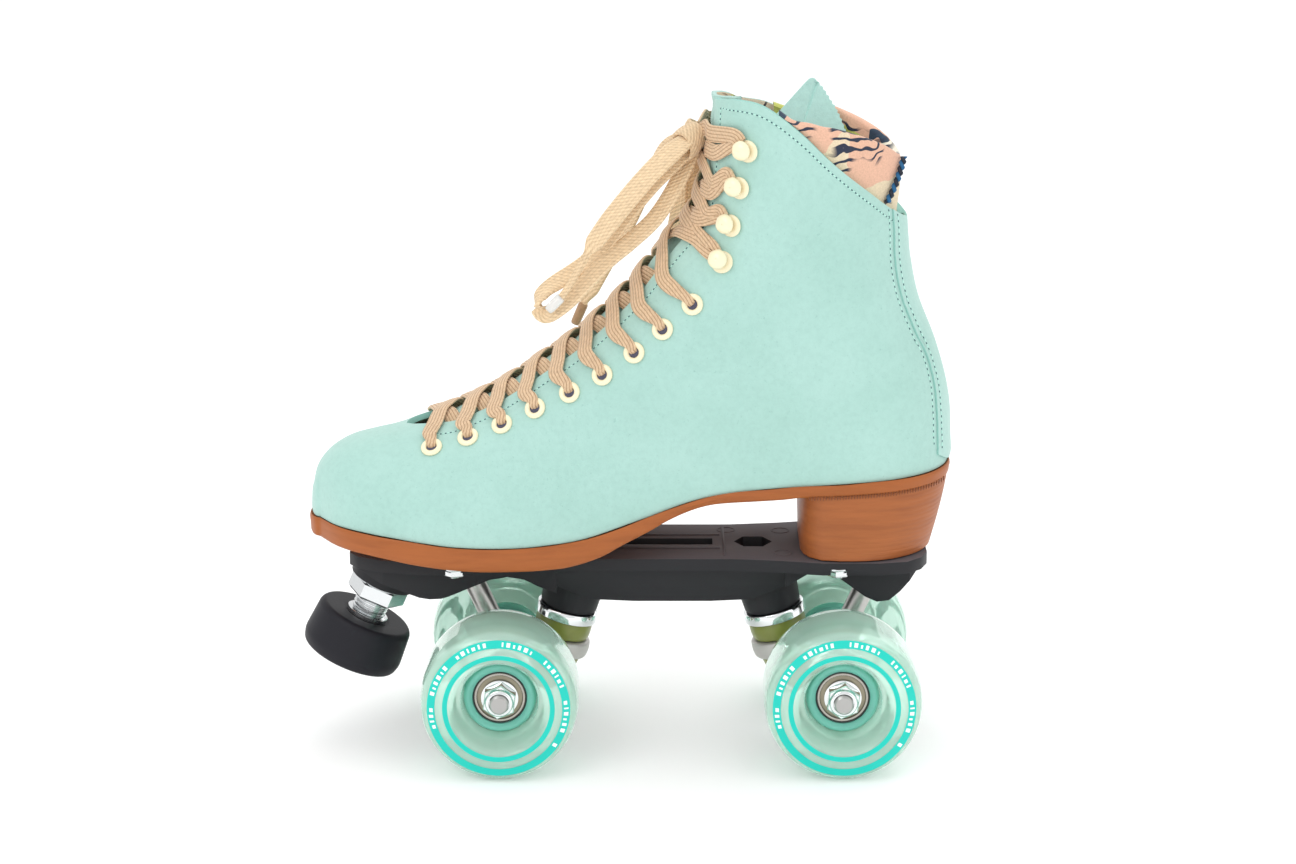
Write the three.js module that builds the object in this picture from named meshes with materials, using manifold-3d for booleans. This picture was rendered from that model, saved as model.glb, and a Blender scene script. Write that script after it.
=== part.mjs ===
// Quad roller skate: a laced suede ankle boot on a moulded nylon plate, with two rubber-sprung
// steering trucks, four cast urethane wheels on ball bearings and a screw-in toe stop.
// Units are millimetres. +Z is up, the toe points along -X, and Z = 0 is the ground under the wheels.
import * as THREE from "three";
import { mergeVertices } from "three/addons/utils/BufferGeometryUtils.js";
import Module from "manifold-3d";

const wasm = await Module();
wasm.setup();

// ---------------------------------------------------------------- driving dimensions
const SHIFT_X = 9.6; // moves the model so that the origin is under the middle of its length
const WHEEL_R = 32.5; // 65 mm wheel
const WHEEL_SEGS = 24; // flats round the tread, with one flat on the ground
const WHEEL_W = 38; // wheel width
const WHEEL_Y = 44; // middle of a wheel, from the centre plane
const AXLE_Z = WHEEL_R;
const FRONT_AXLE_X = -60.8;
const REAR_AXLE_X = 79.9;
const AXLE_R = 3.9;
const AXLE_HALF = 59.5;
const BEARING_R = 11;
const BEARING_W = 7;
const BEARING_BORE_R = 4.25;
const BEARING_IN_Y = 29; // middle of the inboard bearing
const BEARING_OUT_Y = 45.5; // middle of the outboard bearing
const PLATE_TOP_Z = 84.2;
const FLANGE_T = 5.2; // thickness of the plate's top flange
const BEAM_BOTTOM_Z = 63;
const KINGPIN_TILT = (15 * Math.PI) / 180;
const KINGPIN_AT = [26.6, 21.6]; // retainer centre, inboard of and above the axle
const PIVOT_AT = [-15.6, 41.2]; // pivot ball, outboard of and above the axle
const ARM_FOOT = 3.2; // the pivot arm leaves the axle housing this far inboard of the axle
const KINGPIN_R = 4.8;
const CUSHION_R = 12;
const TOE_TILT = (24 * Math.PI) / 180;
const TOE_FACE = [-118.6, 52.6]; // middle of the toe stop's upper face
const TOE_R = 20.6;
const TOE_H = 20.5;
const STEM_R = 7.4;
const SHELL_T = 3; // suede and lining together
const LACE_W = 6.6;
const LACE_T = 1.5;

// ---------------------------------------------------------------- solids from meshes
function solid(geometry, matrix) {
  const g = geometry.index ? geometry.toNonIndexed() : geometry.clone();
  g.deleteAttribute("normal");
  g.deleteAttribute("uv");
  if (matrix) g.applyMatrix4(matrix);
  const m = mergeVertices(g, 1e-4);
  return new wasm.Manifold(
    new wasm.Mesh({
      numProp: 3,
      vertProperties: new Float32Array(m.attributes.position.array),
      triVerts: new Uint32Array(m.index.array),
    }),
  );
}
function geometryOf(s) {
  const m = s.getMesh(),
    n = m.numProp,
    v = new Float32Array(m.numVert * 3);
  for (let i = 0; i < m.numVert; i++)
    for (let k = 0; k < 3; k++) v[3 * i + k] = m.vertProperties[n * i + k];
  const g = new THREE.BufferGeometry();
  g.setAttribute("position", new THREE.BufferAttribute(v, 3));
  g.setIndex(new THREE.BufferAttribute(new Uint32Array(m.triVerts), 1));
  return g;
}
const tidy = (s) => s.simplify(0.08);
const place = (x, y, z) => new THREE.Matrix4().makeTranslation(x, y, z);
const turn = (ax, a) =>
  ax === "x"
    ? new THREE.Matrix4().makeRotationX(a)
    : ax === "y"
      ? new THREE.Matrix4().makeRotationY(a)
      : new THREE.Matrix4().makeRotationZ(a);
const chain = (...m) => m.reduce((a, b) => a.clone().multiply(b));
// A cylinder or cone along +Z, from z0 to z1.
const rod = (r0, r1, z0, z1, segs, matrix = new THREE.Matrix4()) =>
  solid(
    new THREE.CylinderGeometry(r1, r0, z1 - z0, segs),
    chain(matrix, place(0, 0, (z0 + z1) / 2), turn("x", Math.PI / 2)),
  );
// A closed profile of [radius, z] pairs turned about +Z.
function turned(profile, segs, matrix = new THREE.Matrix4(), phase = 0) {
  const pts = [...profile, profile[0]].map(([r, z]) => new THREE.Vector2(r, z));
  let s = solid(
    new THREE.LatheGeometry(pts, segs, phase),
    chain(matrix, turn("x", Math.PI / 2)),
  );
  if (s.volume() < 0)
    s = solid(
      new THREE.LatheGeometry(pts.reverse(), segs, phase),
      chain(matrix, turn("x", Math.PI / 2)),
    );
  return s;
}
const block = (x0, x1, y0, y1, z0, z1, matrix = new THREE.Matrix4()) =>
  solid(
    new THREE.BoxGeometry(x1 - x0, y1 - y0, z1 - z0),
    chain(matrix, place((x0 + x1) / 2, (y0 + y1) / 2, (z0 + z1) / 2)),
  );
// An outline of [x, z] pairs, pulled along Y from y0 to y1.
function slab(outline, y0, y1) {
  const shape = new THREE.Shape(outline.map(([x, z]) => new THREE.Vector2(x, z)));
  const g = new THREE.ExtrudeGeometry(shape, {
    depth: y1 - y0,
    bevelEnabled: false,
  });
  return solid(g, chain(place(0, y1, 0), turn("x", Math.PI / 2)));
}
// An outline of [x, y] pairs, pulled up along Z from z0 to z1.
function flat(outline, z0, z1) {
  const shape = new THREE.Shape(outline.map(([x, y]) => new THREE.Vector2(x, y)));
  return solid(
    new THREE.ExtrudeGeometry(shape, { depth: z1 - z0, bevelEnabled: false }),
    place(0, 0, z0),
  );
}
// A closed body between two grids of points with the same rows and columns.
function sheetBody(top, bottom) {
  const rows = top.length,
    cols = top[0].length,
    pos = [],
    tri = [];
  for (const g of [top, bottom]) for (const r of g) for (const p of r) pos.push(...p);
  const id = (k, i, j) => k * rows * cols + i * cols + j;
  const quad = (a, b, c, d) => tri.push(a, b, c, a, c, d);
  for (let i = 0; i < rows - 1; i++)
    for (let j = 0; j < cols - 1; j++) {
      quad(id(0, i, j), id(0, i + 1, j), id(0, i + 1, j + 1), id(0, i, j + 1));
      quad(id(1, i, j), id(1, i, j + 1), id(1, i + 1, j + 1), id(1, i + 1, j));
    }
  for (let i = 0; i < rows - 1; i++) {
    quad(id(0, i, 0), id(1, i, 0), id(1, i + 1, 0), id(0, i + 1, 0));
    quad(id(0, i, cols - 1), id(0, i + 1, cols - 1), id(1, i + 1, cols - 1), id(1, i, cols - 1));
  }
  for (let j = 0; j < cols - 1; j++) {
    quad(id(0, 0, j), id(0, 0, j + 1), id(1, 0, j + 1), id(1, 0, j));
    quad(id(0, rows - 1, j), id(1, rows - 1, j), id(1, rows - 1, j + 1), id(0, rows - 1, j + 1));
  }
  return fromArrays(pos, tri);
}
function fromArrays(pos, tri) {
  const make = (t) =>
    new wasm.Manifold(
      new wasm.Mesh({
        numProp: 3,
        vertProperties: new Float32Array(pos),
        triVerts: new Uint32Array(t),
      }),
    );
  let s = make(tri);
  if (s.volume() < 0) {
    const t = [];
    for (let i = 0; i < tri.length; i += 3) t.push(tri[i], tri[i + 2], tri[i + 1]);
    s = make(t);
  }
  return s;
}
// A closed body through rings of points: each ring is a closed polygon, and the ends are capped.
function loft(rings) {
  const n = rings[0].length,
    pos = [],
    tri = [];
  for (const r of rings) for (const p of r) pos.push(...p);
  for (let i = 0; i < rings.length - 1; i++)
    for (let j = 0; j < n; j++) {
      const a = i * n + j,
        b = i * n + ((j + 1) % n),
        c = a + n,
        d = b + n;
      tri.push(a, c, b, b, c, d);
    }
  for (const [i, flip] of [
    [0, false],
    [rings.length - 1, true],
  ]) {
    const c = pos.length / 3,
      m = [0, 0, 0];
    for (const p of rings[i]) for (let k = 0; k < 3; k++) m[k] += p[k] / n;
    pos.push(...m);
    for (let j = 0; j < n; j++) {
      const a = i * n + j,
        b = i * n + ((j + 1) % n);
      tri.push(...(flip ? [a, c, b] : [a, b, c]));
    }
  }
  return fromArrays(pos, tri);
}

// ---------------------------------------------------------------- interpolation
function table(pairs) {
  return (x) => {
    if (x <= pairs[0][0]) return pairs[0][1];
    for (let i = 1; i < pairs.length; i++)
      if (x <= pairs[i][0]) {
        const [a, p] = pairs[i - 1],
          [b, q] = pairs[i];
        const t = (x - a) / (b - a);
        const sl = (k) =>
          k <= 0 || k >= pairs.length - 1
            ? (pairs[Math.min(k + 1, pairs.length - 1)][1] - pairs[Math.max(k - 1, 0)][1]) /
              (pairs[Math.min(k + 1, pairs.length - 1)][0] - pairs[Math.max(k - 1, 0)][0])
            : (pairs[k + 1][1] - pairs[k - 1][1]) / (pairs[k + 1][0] - pairs[k - 1][0]);
        const h = b - a,
          t2 = t * t,
          t3 = t2 * t;
        return (
          p * (2 * t3 - 3 * t2 + 1) +
          q * (3 * t2 - 2 * t3) +
          sl(i - 1) * h * (t3 - 2 * t2 + t) +
          sl(i) * h * (t3 - t2)
        );
      }
    return pairs[pairs.length - 1][1];
  };
}
const smooth = (a, b, x) => {
  const t = Math.min(1, Math.max(0, (x - a) / (b - a)));
  return t * t * (3 - 2 * t);
};

// ---------------------------------------------------------------- the last: the boot's own shape
// Half-widths of the sole edge on the inner side (towards -Y) and the outer side, along X.
const soleIn = table([
  [-136, 16], [-129, 27], [-122, 33.5], [-115.5, 37], [-109, 40], [-97, 43.5], [-84, 45], [-72, 45],
  [-60, 44.5], [-48, 43], [-36, 40], [-24, 37], [-12, 34], [0, 31.8], [12, 30], [25, 29], [37, 29.5],
  [50, 30.5], [62, 31.5], [75, 32.3], [90, 32.5], [125, 32.5],
]);
const soleOut = table([
  [-136, 5], [-129, 17], [-122, 26], [-115.5, 31], [-109, 35], [-97, 40.5], [-84, 44], [-72, 46],
  [-60, 47], [-48, 47], [-36, 45.5], [-24, 43], [-12, 40], [0, 37], [12, 34.5], [25, 33], [37, 32.5],
  [50, 32.5], [62, 33], [75, 33], [90, 32.5], [125, 32.5],
]);
const TOE_X = -140.4,
  HEEL_X = 125;
const toeRound = (x, k = 1) => {
  const d = Math.max(0, x - TOE_X);
  return d > 4.4 ? k : k * Math.sqrt(1 - Math.pow(1 - d / 4.4, 2));
};
const heelRound = (d, len = 32) =>
  d >= len ? 1 : Math.sqrt(Math.max(0, 1 - Math.pow(1 - Math.max(0, d) / len, 2)));
const soleTop = table([
  [-141, 99.6], [-125, 99.4], [-109, 98.3], [-97, 97.4], [-84, 95.7], [-72, 94.7], [-60, 94.4], [-48, 94.6],
  [-36, 95.2], [-24, 96.8], [-12, 100], [0, 104.3], [12, 108.4], [25, 112.2], [37, 114.5], [50, 115.8],
  [62, 117.3], [80, 118.2], [93, 119.6], [105, 120.4], [125, 121.2],
]);
const soleBottom = table([
  [-141, 91.6], [-125, 90.6], [-109, 89.2], [-97, 87.6], [-84, 86], [-72, 84.9], [-60, 84.6], [-36, 84.6],
  [-30, 85.4], [-24, 86.8], [-17.6, 89], [-11.5, 92.2], [0.8, 98.2], [7, 101.7], [13, 104.5], [19, 106.8],
  [25, 108.4], [31.5, 109.3], [44, 110.3], [56, 111.4], [62, 112.3], [80, 113.2], [105, 115], [125, 116],
]);
const backX = table([
  [118, 124.6], [130, 124.8], [142, 124.2], [148, 123.6], [154, 122.9], [160.6, 121.5], [167, 119.6],
  [173.4, 117.1], [179.8, 114.5], [186, 112], [192.5, 109.6], [199, 108], [205, 106.9], [211, 106.2],
  [218, 105.8], [224, 105.3], [232, 104.2], [250, 102.5],
]);
const shaftW = table([
  [118, 31.8], [140, 32.4], [160, 33.6], [175, 33.8], [190, 32.8], [205, 32.2], [225, 33], [250, 35], [282, 36.5],
]);
// Section planes fan round from the toe to the collar. Each runs from a point on the front or top
// line to a point on the sole line or the back line. The last number says how far along that line
// the section is rounded at its front.
const FAN = [
  [-139.0, 111.5, -139.8, 101.0, 8],
  [-137.4, 118.6, -138.4, 100.0, 13],
  [-134.2, 123.6, -135.2, 99.8, 18],
  [-129.5, 127.6, -129.8, 99.7, 23],
  [-122.5, 131.0, -122.5, 99.6, 26],
  [-113.5, 133.2, -113.5, 99.0, 28],
  [-104.0, 135.2, -103.0, 98.2, 29],
  [-95.0, 138.4, -92.0, 96.9, 30],
  [-82.0, 142.6, -78.0, 95.3, 31],
  [-68.5, 148.4, -63.0, 94.6, 32],
  [-56.8, 154.9, -46.0, 94.8, 33],
  [-42.7, 164.5, -26.0, 96.6, 34],
  [-29.0, 174.4, -3.0, 103.3, 34],
  [-15.9, 186.4, 22.0, 111.5, 34],
  [-4.6, 198.5, 50.0, 116.0, 34],
  [1.9, 207.6, 80.0, 118.4, 34],
  [8.4, 215.8, 105.0, 120.5, 34],
  [12.6, 220.6, 120.0, 121.3, 34],
  [14.7, 223.0, 124.9, 122.4, 34],
  [17.2, 226.4, 125.0, 132.0, 34],
  [21.4, 236.6, 123.7, 149.5, 34],
  [22.8, 249.6, 118.2, 170.5, 34],
  [23.8, 258.6, 110.6, 190.0, 34],
  [24.2, 265.4, 107.1, 205.4, 34],
  [24.4, 270.2, 105.6, 217.4, 34],
  [24.4, 274.0, 105.0, 224.5, 34],
];
const ROWS = FAN.length;
const fanLine = (u) => {
  const i = Math.min(ROWS - 2, Math.max(0, Math.floor(u))),
    t = u - i,
    g = (k) => FAN[Math.min(ROWS - 1, Math.max(0, k))];
  return FAN[0].map((_, k) => {
    const a = g(i - 1)[k],
      b = g(i)[k],
      c = g(i + 1)[k],
      d = g(i + 2)[k];
    return 0.5 * (2 * b + (c - a) * t + (2 * a - 5 * b + 4 * c - d) * t * t + (3 * b - a - 3 * c + d) * t * t * t);
  });
};
const COLLAR_BUMP = table([
  [0, 0.5], [0.048, 3.6], [0.102, 7.4], [0.196, 11.9], [0.257, 13.6], [0.315, 14.0], [0.387, 13.3], [0.473, 11.7], [0.557, 9.2], [0.619, 7.7], [0.68, 6.5], [0.743, 5.3], [0.808, 4.1], [0.872, 2.6], [0.94, 1.2], [1, 0],
]);
// How much lower the outer side's collar lies than the inner side's.
const OUTER_DIP = table([
  [0, 0], [0.03, 2.5], [0.08, 6], [0.2, 9.2], [0.333, 7.3], [0.38, 5.8], [0.5, 2], [0.6, 0], [1, 0],
]);
// A point of the boot's outer face: u is the section, s runs from the front line (0) to the sole or
// back line (1), and side is -1 for the inner side of the foot and +1 for the outer side.
function bootPoint(u, s, side) {
  const [tx, tz, bx, bz, round] = fanLine(u);
  const x = tx + (bx - tx) * s;
  let z = tz + (bz - tz) * s;
  const len = Math.hypot(bx - tx, bz - tz);
  const foot = side < 0 ? soleIn(x) : soleOut(x);
  const up = smooth(104, 150, z);
  let w = foot * (1 - up) + shaftW(z) * up;
  w *= toeRound(x);
  if (u < 12) w *= 1 + 0.012 * Math.sin(Math.PI * Math.min(1, s * 1.1));
  if (u > 11) w *= 1 - smooth(11, 16, u) * 0.0;
  const d = s * len;
  const t = Math.min(1, d / round);
  const ft = Math.pow(1 - Math.pow(1 - t, 2.25), 1 / 2.25);
  const fb = heelRound(backX(z) - x + 0.02, z > 175 ? 36 : 32);
  const h = Math.max(0.9, w * ft * fb - 1.1);
  const centre = (-5 * (1 - smooth(-137, -60, x))) * (1 - ft) * 1;
  z += smooth(ROWS - 5, ROWS - 1, u) * (COLLAR_BUMP(s) - (side > 0 ? OUTER_DIP(s) : 0));
  return [x, s === 0 ? centre : centre + side * h, z];
}
// Points of one section, from the inner side's lower edge over the front line to the outer side's.
const HALF = [1, 0.9, 0.75, 0.59, 0.43, 0.28, 0.15, 0.06, 0.014];
const section = (u, halves = HALF) => [
  ...halves.map((s) => bootPoint(u, s, -1)),
  bootPoint(u, 0, 1),
  ...[...halves].reverse().map((s) => bootPoint(u, s, 1)),
];
const sub = (a, b) => [a[0] - b[0], a[1] - b[1], a[2] - b[2]];
const cross = (a, b) => [a[1] * b[2] - a[2] * b[1], a[2] * b[0] - a[0] * b[2], a[0] * b[1] - a[1] * b[0]];
const unit = (a) => {
  const l = Math.hypot(...a) || 1;
  return a.map((v) => v / l);
};
// The outward direction at a point of the outer face.
function bootNormal(u, s, side) {
  const e = 0.02,
    q = (uu, ss) => bootPoint(Math.min(ROWS - 1, Math.max(0, uu)), Math.min(1, Math.max(0, ss)), side);
  if (s < 0.02) {
    const a = sub(q(u + 0.1, 0), q(u - 0.1, 0));
    return unit([-a[2], 0, a[0]]);
  }
  const du = sub(q(u + 0.1, s), q(u - 0.1, s)),
    ds = sub(q(u, s + e), q(u, s - e));
  const n = unit(cross(ds, du));
  return side * n[1] < 0 ? n.map((v) => -v) : n;
}
const along = (p, n, d) => [p[0] + n[0] * d, p[1] + n[1] * d, p[2] + n[2] * d];

// ---------------------------------------------------------------- boot
function bootLoft(inset) {
  const rings = [];
  const us = [];
  for (let i = 0; i < ROWS; i++) us.push(i);
  for (const u of us) {
    const ring = [];
    for (const side of [-1, 1]) {
      const list = side < 0 ? HALF : [...HALF].reverse();
      if (side > 0) ring.push(bootPoint(u, 0, 1));
      for (const s of list) ring.push(bootPoint(u, s, side));
    }
    rings.push(ring);
  }
  if (!inset) return loft(rings);
  // The inside face: every section drawn in by the wall, and carried on above the collar.
  const inner = rings.map((ring, i) => {
    const mid = ring.reduce((a, p) => [a[0] + p[0], a[1] + p[1], a[2] + p[2]], [0, 0, 0]).map((v) => v / ring.length);
    const axis = unit(sub(ring[HALF.length], mid)); // towards the front line
    return ring.map((p, j) => {
      const prev = ring[(j + ring.length - 1) % ring.length],
        next = ring[(j + 1) % ring.length];
      const tangent = unit(sub(next, prev));
      const planeN = unit(cross(axis, [0, 1, 0]));
      let n = unit(cross(tangent, planeN));
      if (n[0] * (p[0] - mid[0]) + n[1] * (p[1] - mid[1]) + n[2] * (p[2] - mid[2]) < 0) n = n.map((v) => -v);
      return along(p, n, -inset);
    });
  });
  // The toe end moves in along X, and the top opens.
  inner[0] = inner[0].map((p) => [p[0] + inset + 0.6, p[1] * 0.6, p[2]]);
  const last = inner[inner.length - 1];
  inner.push(last.map((p) => [p[0] + 8, p[1], p[2] + 14]));
  return loft(inner.slice(1));
}
const outer = bootLoft(0);
const inside = bootLoft(SHELL_T);
const wallZone = outer.subtract(bootLoft(SHELL_T + 0.4)); // the wall, with room for its neighbours inside
const bootZone = bootLoft(-0.3); // the whole boot, with room for its neighbours outside
const largest = (s) => s.decompose().sort((a, b) => b.volume() - a.volume())[0];
// The lacing gap, which tapers to a round end at the toe.
const GAP_HALF = 15;
const gapCut = (() => {
  const top = [],
    bottom = [];
  const us = [];
  for (let u = 6.55; u <= ROWS - 1 + 1e-6; u += 0.75) us.push(Math.min(u, ROWS - 1));
  us.push(ROWS - 1);
  const rows = [...new Set(us)];
  rows.forEach((u, i) => {
    const w = GAP_HALF * (i === 0 ? 0.42 : i === 1 ? 0.86 : 1);
    const p = bootPoint(u, 0, 1),
      n = bootNormal(u, 0, 1);
    const lift = i === rows.length - 1 ? 16 : 0;
    top.push([-w, -w / 2, w / 2, w].map((y) => [p[0] + n[0] * 14 - lift * n[2] * 0 , y, p[2] + n[2] * 14 + lift]));
    bottom.push([-w, -w / 2, w / 2, w].map((y) => [p[0] - n[0] * 9, y, p[2] - n[2] * 9 + lift]));
  });
  return sheetBody(top, bottom);
})();

// Where the eyelets and hooks are, on the side face.
const EYELETS = [
  [-88, 132.4], [-73.7, 136.7], [-59.4, 142.2], [-45.5, 149.1], [-31.7, 156.3], [-18.7, 164.2],
  [-5.7, 173.6], [5.7, 183.2], [17.8, 193.8],
];
const HOOKS = [
  [28.6, 212.0], [32.1, 227.2], [35.2, 242.7], [37.5, 257.8],
];
function onFace([x, z]) {
  let best = [1e9, 0, 0];
  for (let u = 4; u <= ROWS - 1; u += 0.05)
    for (let s = 0.02; s < 0.7; s += 0.01) {
      const p = bootPoint(u, s, -1),
        d = Math.hypot(p[0] - x, p[2] - z);
      if (d < best[0]) best = [d, u, s];
    }
  return [best[1], best[2]];
}
const EYELET_US = EYELETS.map(onFace);
const HOOK_US = HOOKS.map(onFace);
const frameAt = (p, n) => {
  const zAxis = new THREE.Vector3(...n).normalize();
  const q = new THREE.Quaternion().setFromUnitVectors(new THREE.Vector3(0, 0, 1), zAxis);
  return new THREE.Matrix4().compose(new THREE.Vector3(...p), q, new THREE.Vector3(1, 1, 1));
};
let shell = outer.subtract(inside).subtract(gapCut);
const stays = { inner: null, outer: null };
for (const [key, side] of [
  ["inner", -1],
  ["outer", 1],
]) {
  // The stay is a thin strip inside the wall that ties the row together.
  const all = [...EYELET_US, ...HOOK_US];
  const topG = [],
    botG = [];
  for (const [u, s] of all) {
    const len = (() => {
      const [tx, tz, bx, bz] = fanLine(u);
      return Math.hypot(bx - tx, bz - tz);
    })();
    const ds = 3.4 / len;
    const line = [-ds, 0, ds].map((d) => [bootPoint(u, s + d, side), bootNormal(u, s + d, side)]);
    topG.push(line.map(([p, n]) => along(p, n, -SHELL_T - 1.55)));
    botG.push(line.map(([p, n]) => along(p, n, -SHELL_T - 2.7)));
  }
  let stay = sheetBody(topG, botG);
  const holes = [];
  EYELET_US.forEach(([u, s]) => {
    const m = frameAt(bootPoint(u, s, side), bootNormal(u, s, side));
    stay = stay.add(rod(2.7, 2.7, -SHELL_T - 1.9, 0.9, 6, m)).add(rod(4.4, 4.2, 0.65, 1.5, 6, m));
    shell = shell.subtract(rod(3.15, 3.15, -SHELL_T - 1.4, 2, 6, m));
    holes.push(rod(2.0, 2.0, -SHELL_T - 2.5, 3, 6, m));
  });
  HOOK_US.forEach(([u, s]) => {
    const m = frameAt(bootPoint(u, s, side), bootNormal(u, s, side));
    stay = stay
      .add(rod(1.7, 1.7, -SHELL_T - 1.9, 4.6, 6, m))
      .add(rod(4.3, 3.8, 4.3, 5.6, 6, m));
    shell = shell.subtract(rod(2.15, 2.15, -SHELL_T - 1.4, 2, 6, m));
  });
  for (const h of holes) stay = stay.subtract(h);
  stays[key] = tidy(stay);
}
shell = tidy(shell);

// A strip of the boot's own face, between two depths below it.
function facePatch(us, cols, depthTop, depthBottom) {
  const top = [],
    bottom = [];
  for (const u of us) {
    const a = [],
      b = [];
    for (const [s, side] of cols(u)) {
      const p = bootPoint(u, s, side),
        n = bootNormal(u, s, side);
      a.push(along(p, n, -depthTop(u, p)));
      b.push(along(p, n, -depthBottom(u, p)));
    }
    top.push(a);
    bottom.push(b);
  }
  return sheetBody(top, bottom);
}
// The s at which the outer face is y from the centre plane, near the front line.
function sAtY(u, y) {
  for (let s = 0.002; s < 0.8; s += 0.002)
    if (Math.abs(bootPoint(u, s, y < 0 ? -1 : 1)[1]) >= Math.abs(y)) return s;
  return 0.8;
}
const range = (a, b, n) => Array.from({ length: n }, (_, i) => a + ((b - a) * i) / (n - 1));
const tongue = facePatch(
  range(6.3, ROWS - 1, 17),
  (u) =>
    [-23, -17, -12.5, -7, 0, 7, 12.5, 17, 23].map((y) => (y === 0 ? [0, 1] : [sAtY(u, y * (u < 7 ? 0.62 : u < 8 ? 0.85 : 1)), Math.sign(y)])),
  (u, p) => {
    const a = Math.abs(p[1]);
    return 6.2 - 4.8 * (1 - smooth(8, 12.4, a)) * smooth(6.6, 8.2, u);
  },
  () => 8.3,
);
// The tongue's outer corner folds back along the outer wall and stands up above the collar.
const TONGUE_CORNER = [
  [27, 259], [27, 266], [46, 257.5], [54.2, 263.6], [60.3, 270.2], [64.8, 275.2], [67.1, 276.9], [69.3, 275.8], [74.7, 268.4],
  [78.9, 261.3], [82, 253.1], [82.8, 247], [70, 240], [44, 246],
];
const tongueCorner = slab([...TONGUE_CORNER].reverse(), 17.6, 19.4);
// The padded lining round the collar, which stands above the suede at the back.
const lining = (() => {
  const us = [ROWS - 6.5, ROWS - 5, ROWS - 4, ROWS - 3, ROWS - 2, ROWS - 1];
  const ss = [0.36, 0.48, 0.6, 0.72, 0.83, 0.92, 0.985];
  const top = [],
    bottom = [];
  const rise = (s) => table([[0.3, -2.5], [0.42, 0.5], [0.49, 4.5], [0.56, 8.5], [0.634, 13], [0.72, 17], [0.82, 21], [0.91, 23.8], [1, 23.8]])(s);
  const lean = (s) => 1.9 * smooth(0.72, 0.97, s);
  for (const u of us) {
    const a = [],
      b = [];
    for (const [s, side] of [
      ...ss.map((s) => [s, -1]),
      ...[...ss].reverse().map((s) => [s, 1]),
    ]) {
      const p = bootPoint(u, s, side),
        n = bootNormal(u, s, side);
      a.push(along(p, n, -SHELL_T - 0.5));
      b.push(along(p, n, -SHELL_T - 4.8));
    }
    top.push(a);
    bottom.push(b);
  }
  // Two more rows carry it up above the suede.
  for (const k of [0.5, 1]) {
    const a = [],
      b = [];
    [...ss.map((s) => [s, -1]), ...[...ss].reverse().map((s) => [s, 1])].forEach(([s, side], j) => {
      const base = top[us.length - 1][j],
        low = bottom[us.length - 1][j];
      a.push([base[0] + lean(s) * k, base[1], base[2] + rise(s) * k]);
      b.push([low[0] + lean(s) * k, low[1], low[2] + (rise(s) - (k === 1 ? 1.2 : 0)) * k]);
    });
    top.push(a);
    bottom.push(b);
  }
  return sheetBody(top, bottom);
})();
// The footbed lies on the bottom of the shell.
const footbed = (() => {
  const xs = range(-132, 116, 16);
  const top = [],
    bottom = [];
  for (const x of xs) {
    const end = Math.min(1, toeRound(x + 2)) * heelRound(HEEL_X - 5 - x, 30) * (x < -120 ? 0.88 : 1);
    const a = -(soleIn(x) * end - 7.5),
      b = soleOut(x) * end - 7.5;
    const lo = Math.min(a, -2),
      hi = Math.max(b, 2);
    const z = soleTop(x) + 3.9;
    top.push(range(lo, hi, 5).map((y) => [x, y, z + 3.2]));
    bottom.push(range(lo, hi, 5).map((y) => [x, y, z]));
  }
  return sheetBody(top, bottom);
})();
// The strip over the back seam.
const backstay = (() => {
  const us = range(18.3, ROWS - 1.02, 9);
  const top = [],
    bottom = [];
  for (const u of us) {
    const wide = (y) => {
      for (let s = 0.999; s > 0.5; s -= 0.001) if (Math.abs(bootPoint(u, s, 1)[1]) >= Math.abs(y)) return s;
      return 0.5;
    };
    const a = [],
      b = [];
    for (const y of [-8.5, -5, -2, 2, 5, 8.5]) {
      const s = wide(y),
        p = bootPoint(u, s, Math.sign(y)),
        q = bootPoint(u, s - 0.02, Math.sign(y));
      const n = unit([p[0] - q[0] > 0 ? Math.abs(p[1]) < 9 ? 1 : 0.7 : 1, Math.sign(y) * 0.35 * Math.abs(y) / 8.5, 0.1]);
      a.push(along(p, n, 1.55));
      b.push(along(p, n, 0.4));
    }
    top.push(a);
    bottom.push(b);
  }
  return sheetBody(top, bottom);
})();

// ---------------------------------------------------------------- sole and heel
const sole = (() => {
  const xs = [TOE_X + 0.15, -139.6, -138.2, -136, -132, -126, -118, -108, -96, -84, -72, -60, -48, -36, -27, -18, -9, 0, 9, 18, 27, 37, 50, 62, 76, 90, 102, 110, 116, 120.5, 123.4, 124.8];
  const top = [],
    bottom = [];
  for (const x of xs) {
    const k = toeRound(x) * heelRound(HEEL_X + 0.1 - x, 32);
    const a = -Math.max(0.8, soleIn(x) * k) - (x < -130 ? 0 : 0),
      b = Math.max(0.8, soleOut(x) * k);
    const c = x < -134 ? -5 * (1 - toeRound(x)) : 0;
    const ys = range(a + c, b + c, 3);
    top.push(ys.map((y) => [x, y, soleTop(x) - 0.3]));
    bottom.push(ys.map((y) => [x, y, soleBottom(x)]));
  }
  return sheetBody(top, bottom);
})();
const HEEL_FRONT_X = 62.6,
  HEEL_BOTTOM_Z = 84.6;
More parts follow.
